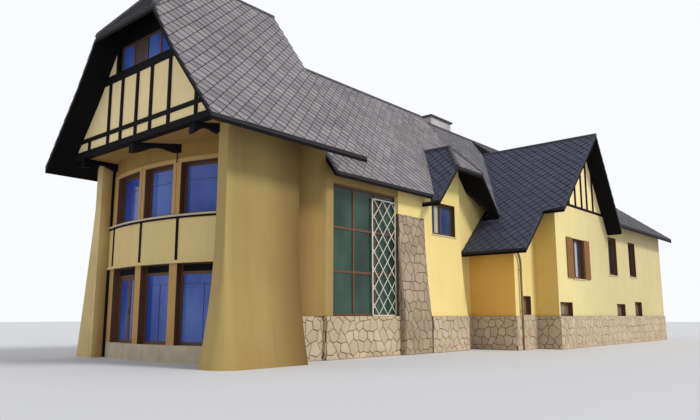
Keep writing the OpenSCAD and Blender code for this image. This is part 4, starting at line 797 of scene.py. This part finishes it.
PLINTH_OUT, RECESS_BACK = 0.04, 0.10
add_stones("pier_stones", [(pier_front, BAY_X - PIER_X, PIER_TOP),
                           (pier_side, BATTER, SIDE_TOP)], PIER_STONES)
left, right = WING_X - PLINTH_OUT, WING_END + PLINTH_OUT
front, rear = WING_Y - PLINTH_OUT, REAR_Y + PLINTH_OUT
plinth_runs = [
    (RECESS_X, RANGE_Y + RECESS_BACK, EAST, RANGE_X - RECESS_X),
    (RANGE_X, RANGE_Y - PLINTH_OUT, EAST, PIER_X - RANGE_X),
    (RANGE_X, RANGE_Y + RECESS_BACK, SOUTH, RECESS_BACK + PLINTH_OUT),
    (BAY_X, RANGE_Y - BATTER - PLINTH_OUT, EAST, STRIP_X - BAY_X),
    (STRIP_X, STRIP_Y - PLINTH_OUT, EAST, ANNEX_X - PLINTH_OUT - STRIP_X),
    (ANNEX_X - PLINTH_OUT, STRIP_Y - PLINTH_OUT, SOUTH, STRIP_Y - ANNEX_Y),
    (ANNEX_X - PLINTH_OUT, ANNEX_Y - PLINTH_OUT, EAST, WING_X - ANNEX_X),
    (left, ANNEX_Y - PLINTH_OUT, SOUTH, ANNEX_Y - WING_Y),
    (left, front, EAST, right - left),
    (right, front, NORTH, rear - front),
    (right, rear, WEST, right - RANGE_X),
]
add_stones("plinth_stones", [(flat_face(x, y, along), length, PLINTH_Z)
                             for x, y, along, length in plinth_runs], STONES)


# ==== window trim ====

BEAD_W, BEAD_D, BEAD_OUT = 0.016, 0.030, 0.025
LINING_T, LINING_IN = 0.010, 0.006      # the linings' middle lies LINING_IN inside the hole
LINING_GAP = 0.004                      # what a flat window's linings leave of the reveal
FLAT_GAPS, BOW_GAPS = (0.001, 0.001), (0, 0.002)    # over the foot, under the head of a jamb
HEAD_IN, HEAD_DROP = 0.012, 0.007
SILL_T, SILL_D, SILL_SIDE, SILL_IN = 0.045, 0.20, 0.05, 0.06
SILL_DROP, PLINTH_SILL = 0.03, 0.024    # under the hole, or over the plinth where it is higher


def light_rings(origin, along, out, width, height, lights):
    """Beads round each light of a window, in front of its glass: four bars a light."""
    wide = (width - FRAME_W * (lights + 1)) / lights
    right, rise = along * wide, UP * (height - 2 * FRAME_W)
    made = []
    for i in range(lights):
        foot = origin + along * (FRAME_W + i * (wide + FRAME_W)) + UP * FRAME_W + out * BEAD_OUT
        ring = [foot, foot + right, foot + right + rise, foot + rise]
        made.append(bars(ring, ring[1:] + ring[:1], out, BEAD_W, BEAD_D))
    return made


def hole_linings(foot, along, width, height, depth, low, high):
    """Linings of a hole: two jambs that stop low over its foot and high under its head, and
    a strip under the head. foot is the hole's first lower corner, half the depth in."""
    made = []
    for at in (LINING_IN, width - LINING_IN):
        jamb = foot + along * at
        made.append(bars(jamb + UP * low, jamb + UP * (height - high), along, LINING_T, depth))
    head = foot + UP * (height - HEAD_DROP)
    return made + [bars(head + along * HEAD_IN, head + along * (width - HEAD_IN), UP,
                        LINING_T, depth)]


# Each wall: corner, direction, and its windows as start, sill, width, height, lights
FLAT_WINDOWS = {
    "bay": ((BAY_X, RANGE_Y, 0), EAST, [(0.54, 4.52, 1.70, 1.28, 2)]),
    "annex": ((ANNEX_X, ANNEX_Y, 0), EAST, [(0.70, PLINTH_Z, 0.70, 0.82, 1)]),
    "wing": ((WING_X, WING_Y, 0), EAST,
             [(1.7, 2.98, 1.3, 1.77, 2), (6.25, 3.35, 1.2, 1.88, 1), (9.3, 3.4, 1.1, 1.82, 1),
              (0.12, PLINTH_Z, 1.3, 0.58, 1), (7.0, PLINTH_Z, 1.25, 0.60, 1),
              (9.8, PLINTH_Z, 1.15, 0.74, 1)]),
    "rear": ((WING_END, REAR_Y, 0), WEST,
             [(1.4 + 3.6 * i, 3.35, 1.2, 1.7, 2) for i in range(7)]
             + [(1.45 + 3.6 * i, PLINTH_Z, 1.1, 0.6, 1) for i in range(7)]),
    "end": ((WING_END, WING_Y, 0), NORTH,
            [(2.3, 3.35, 1.2, 1.7, 2), (5.9, 3.35, 1.2, 1.7, 2), (4.1, 6.9, 1.2, 1.2, 2)]),
}
beads, sills, linings = [], [], []
for wall, (corner, along, windows) in FLAT_WINDOWS.items():
    out = np.cross(along, UP)
    depth = REVEAL - LINING_GAP
    for start, sill, width, height, lights in windows:
        hole = corner + along * start + UP * sill
        beads += light_rings(hole - out * (REVEAL + FRAME_D / 2), along, out, width, height,
                             lights)
        linings += hole_linings(hole - out * REVEAL / 2, along, width, height, depth,
                                *FLAT_GAPS)
        if sill > PLINTH_Z or wall == "annex":
            level = max(sill - SILL_DROP, PLINTH_Z + PLINTH_SILL)
            a = corner + along * (start - SILL_SIDE) + UP * level - out * SILL_IN
            sills.append(bars(a, a + along * (width + 2 * SILL_SIDE), out, SILL_D, SILL_T))
add_blocks("flat_window_beads", beads, BROWN)
add_blocks("window_sills", sills, PALE_STONE)
add_blocks("flat_window_linings", linings, BROWN)

PANEL_T, PANEL_LIFT, PANEL_SIDE, PANEL_LESS, PANEL_OUT = 0.012, 0.02, 0.09, 0.10, 0.004
bow_face, bow_lining = BOW_R - BOW_REVEAL, BOW_REVEAL - 0.03
beads, panels, linings = [], [], []
for bay, width in BAY_W.items():
    turn = bay * BAY_PITCH - BAY_MID
    along = np.array([-math.sin(turn), -math.cos(turn), 0.0])
    out = np.array([-math.cos(turn), math.sin(turn), 0.0])
    windows = [(UPPER_SILL, UPPER_HEAD - UPPER_SILL)]
    if bay < 1:
        windows.append((THRESHOLD, GARDEN_HEAD - THRESHOLD - TRANSOM + FRAME_W))
    for sill, height in windows:
        beads += light_rings(bay_point(bay, bow_face, -width / 2, FRAME_D / 2, sill), along, out,
                             width, height, 1)
    panels.append(bars(*(bay_point(bay, bow_face, side * (width / 2 - PANEL_SIDE), -PANEL_OUT,
                                   GARDEN_HEAD - TRANSOM / 2 + PANEL_LIFT)
                         for side in (-1, 1)), UP, TRANSOM - PANEL_LESS, PANEL_T))
    for sill, head in ((THRESHOLD, GARDEN_HEAD), (UPPER_SILL, UPPER_HEAD)):
        foot = bay_point(bay, bow_face, -width / 2, -bow_lining / 2, sill)
        linings += hole_linings(foot, along, width, head - sill, bow_lining, *BOW_GAPS)
add_blocks("bow_window_beads", beads, BROWN)
add_blocks("garden_head_panels", panels, TARRED_FLAT)
add_blocks("bow_linings", linings, BROWN)

# Thin glazing bars; those of the far bay belong to its two door leaves
BAR_Z, HIGH_BAR_Z, LEAF_LIGHT = 2.30, 5.45, np.array([0.08, 0.69])
BAR_W, BAR_D, BAR_IN = 0.011, 0.010, 0.020


def bay_bar(bay, ends, heights):
    """A thin bar just in front of a bow window's glass, between two places along the bay."""
    start, end = (bay_point(bay, bow_face, at, BAR_IN, z) for at, z in zip(ends, heights))
    outward = bay_point(bay, 1, 0, 0, 0) - bay_point(bay, 0, 0, 0, 0)
    return bars(start, end, outward, BAR_D, BAR_W)


fixed_bars = []
for bay, width in BAY_W.items():
    half = width / 2 - FRAME_W
    fixed_bars.append(bay_bar(bay, (-half, half), (HIGH_BAR_Z, HIGH_BAR_Z)))
    if bay < 1:
        fixed_bars += [bay_bar(bay, (-half, half), (BAR_Z, BAR_Z)),
                       bay_bar(bay, (0, 0), (THRESHOLD + FRAME_W, BAR_Z))]
add_blocks("bow_glazing_bars", fixed_bars, BROWN)
for body, side in (("garden_door_far", -1), ("garden_door_near", 1)):
    add_blocks(body + "_bar", [bay_bar(1, side * LEAF_LIGHT, (BAR_Z, BAR_Z))], BROWN,
               body)

# A lever handle on the meeting stile of the near door leaf: a plate, a neck and the lever
HANDLE_Z, STILE_MID, LEVER_END, HANDLE_OUT = 1.50, 0.040, 0.150, 0.012
PLATE_HALF, PLATE_T, PLATE_W, NECK_T = 0.09, 0.014, 0.030, 0.016
grip = bay_point(1, bow_face, STILE_MID, HANDLE_OUT, HANDLE_Z)
neck = bay_point(1, bow_face, STILE_MID, -HANDLE_OUT, HANDLE_Z)
tip = bay_point(1, bow_face, LEVER_END, -HANDLE_OUT, HANDLE_Z)
add_blocks("door_handle", [
    bars(grip - PLATE_HALF * UP, grip + PLATE_HALF * UP, grip - neck, PLATE_T, PLATE_W),
    bars(grip, neck, UP, NECK_T, NECK_T), bars(neck, tip, UP, NECK_T, PLATE_T),
], IRON, "garden_door_near")

# The attic row: a brown board in front of its second light, and dark linings of its hole
ATTIC_HALF, ATTIC_SILL, ATTIC_HEAD = 1.5, 9.0, 9.88
ATTIC_FACE, ATTIC_FRAME, LIGHT_FROM, LIGHT_TO, LIGHT_IN = 0.784, 0.849, 0.05, 0.68, 0.09
BOARD_FACE, BOARD_BACK, CLEAR, STRIP_DEEP = 0.862, 0.874, 0.001, 0.014
JAMB_IN, JAMB_HALF = 0.008, 0.009
add_blocks("attic_board", [boxes((BOARD_FACE, FRONT_Y + LIGHT_FROM, ATTIC_SILL + LIGHT_IN),
                                 (BOARD_BACK, FRONT_Y + LIGHT_TO, ATTIC_HEAD - LIGHT_IN))],
           DARK_BOARD)
linings = [boxes((ATTIC_FACE, FRONT_Y - ATTIC_HALF + CLEAR, ATTIC_HEAD - STRIP_DEEP),
                 (ATTIC_FRAME, FRONT_Y + ATTIC_HALF - CLEAR, ATTIC_HEAD + CLEAR))]
for side in (-1, 1):
    jamb_y = FRONT_Y + side * (ATTIC_HALF - JAMB_IN)
    linings.append(boxes((ATTIC_FACE, jamb_y - JAMB_HALF, ATTIC_SILL + CLEAR),
                         (ATTIC_FRAME, jamb_y + JAMB_HALF, ATTIC_HEAD - STRIP_DEEP - CLEAR)))
add_blocks("attic_linings", linings, TARRED)

# The foot of the cross gable's right verge, closed under the tiles as far as the wall
FOOT_X, FOOT_UNDER, FOOT_T, FOOT_GAP = np.array([22.45, 23.06]), 0.06, 0.16, 0.01
foot_top = CROSS_Z - CROSS_R * (FOOT_X - CROSS_X) - FOOT_UNDER
verge_foot = boxes((FOOT_X[0], WING_EAVE_Y, 0), (FOOT_X[1], WING_Y - FOOT_GAP, 1))
for corner, end in enumerate((0, 1, 1, 0)):
    verge_foot[:, corner, 2] = foot_top[end] - FOOT_T
    verge_foot[:, corner + 4, 2] = foot_top[end]
add_blocks("cross_verge_foot", [verge_foot], SOFFIT)

# A dark strip on the head between the middle and the near upper windows
STRIP_AT, STRIP_W, STRIP_T, STRIP_OUT, STRIP_GAP = -0.997, 0.034, 0.016, 0.004, 0.002
strip_foot = bay_point(-1, BOW_R, STRIP_AT, -STRIP_OUT, UPPER_HEAD)
strip_top = strip_foot + UP * (JETTY_Z - UPPER_HEAD - STRIP_GAP)
add_blocks("bow_head_strip", [bars(strip_foot, strip_top, NORTH, STRIP_W, STRIP_T)], TARRED)

# Upright boards over the attic windows, cut off by the half hip's slope
BOARD_W, BOARD_GAP, BOARD_X = 0.156, 0.003, (0.768, 0.789)
BOARD_TOP, BOARDS_HALF, BOARDS_LEAN = 10.77, 1.56, 1.435
boards = []
for left_y in np.arange(-BOARDS_HALF, BOARDS_HALF - 0.01, BOARD_W):
    edges = np.array([left_y + BOARD_GAP, left_y + BOARD_W - BOARD_GAP])
    tops = np.minimum(BOARD_TOP, ATTIC_HEAD + (BOARDS_HALF - np.abs(edges)) * BOARDS_LEAN)
    board = boxes((BOARD_X[0], FRONT_Y + edges[0], ATTIC_HEAD),
                  (BOARD_X[1], FRONT_Y + edges[1], BOARD_TOP))
    board[:, 4:6, 2], board[:, 6:8, 2] = tops[0], tops[1]
    boards.append(board)
add_blocks("gable_head_boards", boards, TARRED)

# The rain pipe's bend: x goes back by BEND_BACK t^2 while z rises by BEND_RISE t
PIPE_X, PIPE_Y, PIPE_R, BEND_Z = ANNEX_X + 0.40, ANNEX_Y - 0.09, 0.046, 3.42
BEND_BACK, BEND_RISE = 0.46, 0.73
t = np.linspace(0, 1, 15)[:, None]
bend = np.hstack([PIPE_X - BEND_BACK * t ** 2, PIPE_Y + 0 * t, BEND_Z + BEND_RISE * t])
turns = np.linspace(0, 2 * math.pi, 16, endpoint=False)
pipe_ring = PIPE_R * np.stack([np.cos(turns), np.sin(turns)], -1)
pipe_points, pipe_faces = sweep(pipe_ring, bend, NORTH)
add_piece("pipe_bend", pipe_points, pipe_faces, PIPE, smooth=True)

# White lattice over the right part of the tall stair window: slats both ways, then a rim
LATTICE_LO, LATTICE_HI = np.array([8.13, PLINTH_Z + 0.02]), np.array([PIER_X - 0.04, 5.42])
LATTICE_STEP, LATTICE_SLOPE, LATTICE_SHIFT, LATTICE_SPAN = 0.62, 1.25, 2.1, (-6.0, 8.0)
SLAT_T, SLAT_W, SLAT_Y, SLAT_LAYER = 0.012, 0.026, RANGE_Y + REVEAL - 0.03, 0.014
LEAST_SLAT = 0.03               # a share of the width; a shorter slat is left out
RIM_T, RIM_W, RIM_Y = 0.03, 0.045, RANGE_Y + REVEAL - 0.036
lattice = []
for direction, depth in ((1, 0.0), (-1, SLAT_LAYER)):
    for shift in np.arange(*LATTICE_SPAN, LATTICE_STEP):
        x = np.array([LATTICE_LO[0], LATTICE_HI[0]])
        z = (LATTICE_LO[1] + shift + direction * (x - LATTICE_LO[0]) * LATTICE_SLOPE
             + (0 if direction > 0 else LATTICE_SHIFT))
        cut = np.clip((np.array([LATTICE_LO[1], LATTICE_HI[1]]) - z[0]) / (z[1] - z[0]), 0, 1)
        if np.ptp(cut) > LEAST_SLAT:
            ends = [(x[0] + (x[1] - x[0]) * part, SLAT_Y - depth, z[0] + (z[1] - z[0]) * part)
                    for part in sorted(cut)]
            lattice.append(bars(*ends, NORTH, SLAT_T, SLAT_W))
(x0, z0), (x1, z1) = LATTICE_LO, LATTICE_HI
for start, end in (((x0, z0), (x0, z1)), ((x1, z0), (x1, z1)),
                   ((x0, z1), (x1, z1)), ((x0, z0), (x1, z0))):
    lattice.append(bars((start[0], RIM_Y, start[1]), (end[0], RIM_Y, end[1]), NORTH,
                        RIM_T, RIM_W))
add_blocks("stair_lattice", lattice, WHITE_PAINT)


# ==== camera and light ====

FLOOR_HALF, FLOOR_COLOR = 140.0, (206, 208, 214)
FILL_COLOR, FILL_STRENGTH = (0.96, 0.96, 0.98, 1), 0.66
SKY_COLOR, SKY_STRENGTH = (0.95, 0.97, 1.0, 1), 1.0
SUN_COLOR, SUN_STRENGTH, SUN_SPREAD = (1.0, 0.97, 0.90), 1.95, math.radians(14)
SUN_TURN = (math.radians(48), 0.0, math.radians(14))
CAMERA_AT, LENS = (-25.16, -15.915, 1.35), 32.76
CAMERA_TURN = (math.radians(99.45), 0.0, math.radians(-49.1))

floor_mesh = bpy.data.meshes.new("studio_floor")
floor_mesh.from_pydata([(x * FLOOR_HALF, y * FLOOR_HALF, 0)
                        for x, y in ((-1, -1), (1, -1), (1, 1), (-1, 1))], [], [(0, 1, 2, 3)])
floor_paint = new_material("studio_floor", 0.9, Base_Color=srgb(FLOOR_COLOR))[0]
floor_mesh.materials.append(floor_paint)
put("studio_floor", floor_mesh)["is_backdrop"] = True

# The sky as the camera, mirrors and glass see it, and a softer fill for all other light
world = bpy.data.worlds.new("studio_sky")
bpy.context.scene.world = world
world.use_nodes = True
sky = Graph(world.node_tree)
world.node_tree.nodes.clear()
path = sky.add("LightPath")
shown = sky.math("MAXIMUM", path.outputs["Is Camera Ray"], sky.math(
    "MAXIMUM", path.outputs["Is Glossy Ray"], path.outputs["Is Transmission Ray"]))
fill = sky.add("Background", {"Color": FILL_COLOR, "Strength": FILL_STRENGTH})
seen = sky.add("Background", {"Color": SKY_COLOR, "Strength": SKY_STRENGTH})
both = sky.add("MixShader", {0: shown, 1: fill.outputs[0], 2: seen.outputs[0]})
sky.add("OutputWorld", {"Surface": both.outputs[0]})

sun_data = bpy.data.lights.new("studio_key", "SUN")
sun_data.energy, sun_data.angle, sun_data.color = SUN_STRENGTH, SUN_SPREAD, SUN_COLOR
put("studio_key", sun_data).rotation_euler = SUN_TURN

camera_data = bpy.data.cameras.new("photo_view")
camera_data.lens, camera_data.sensor_width, camera_data.clip_end = LENS, 36.0, 500.0
camera = put("photo_view", camera_data)
camera.location, camera.rotation_euler = CAMERA_AT, CAMERA_TURN
bpy.context.scene.camera = camera
bpy.context.scene.view_settings.view_transform = "Standard"
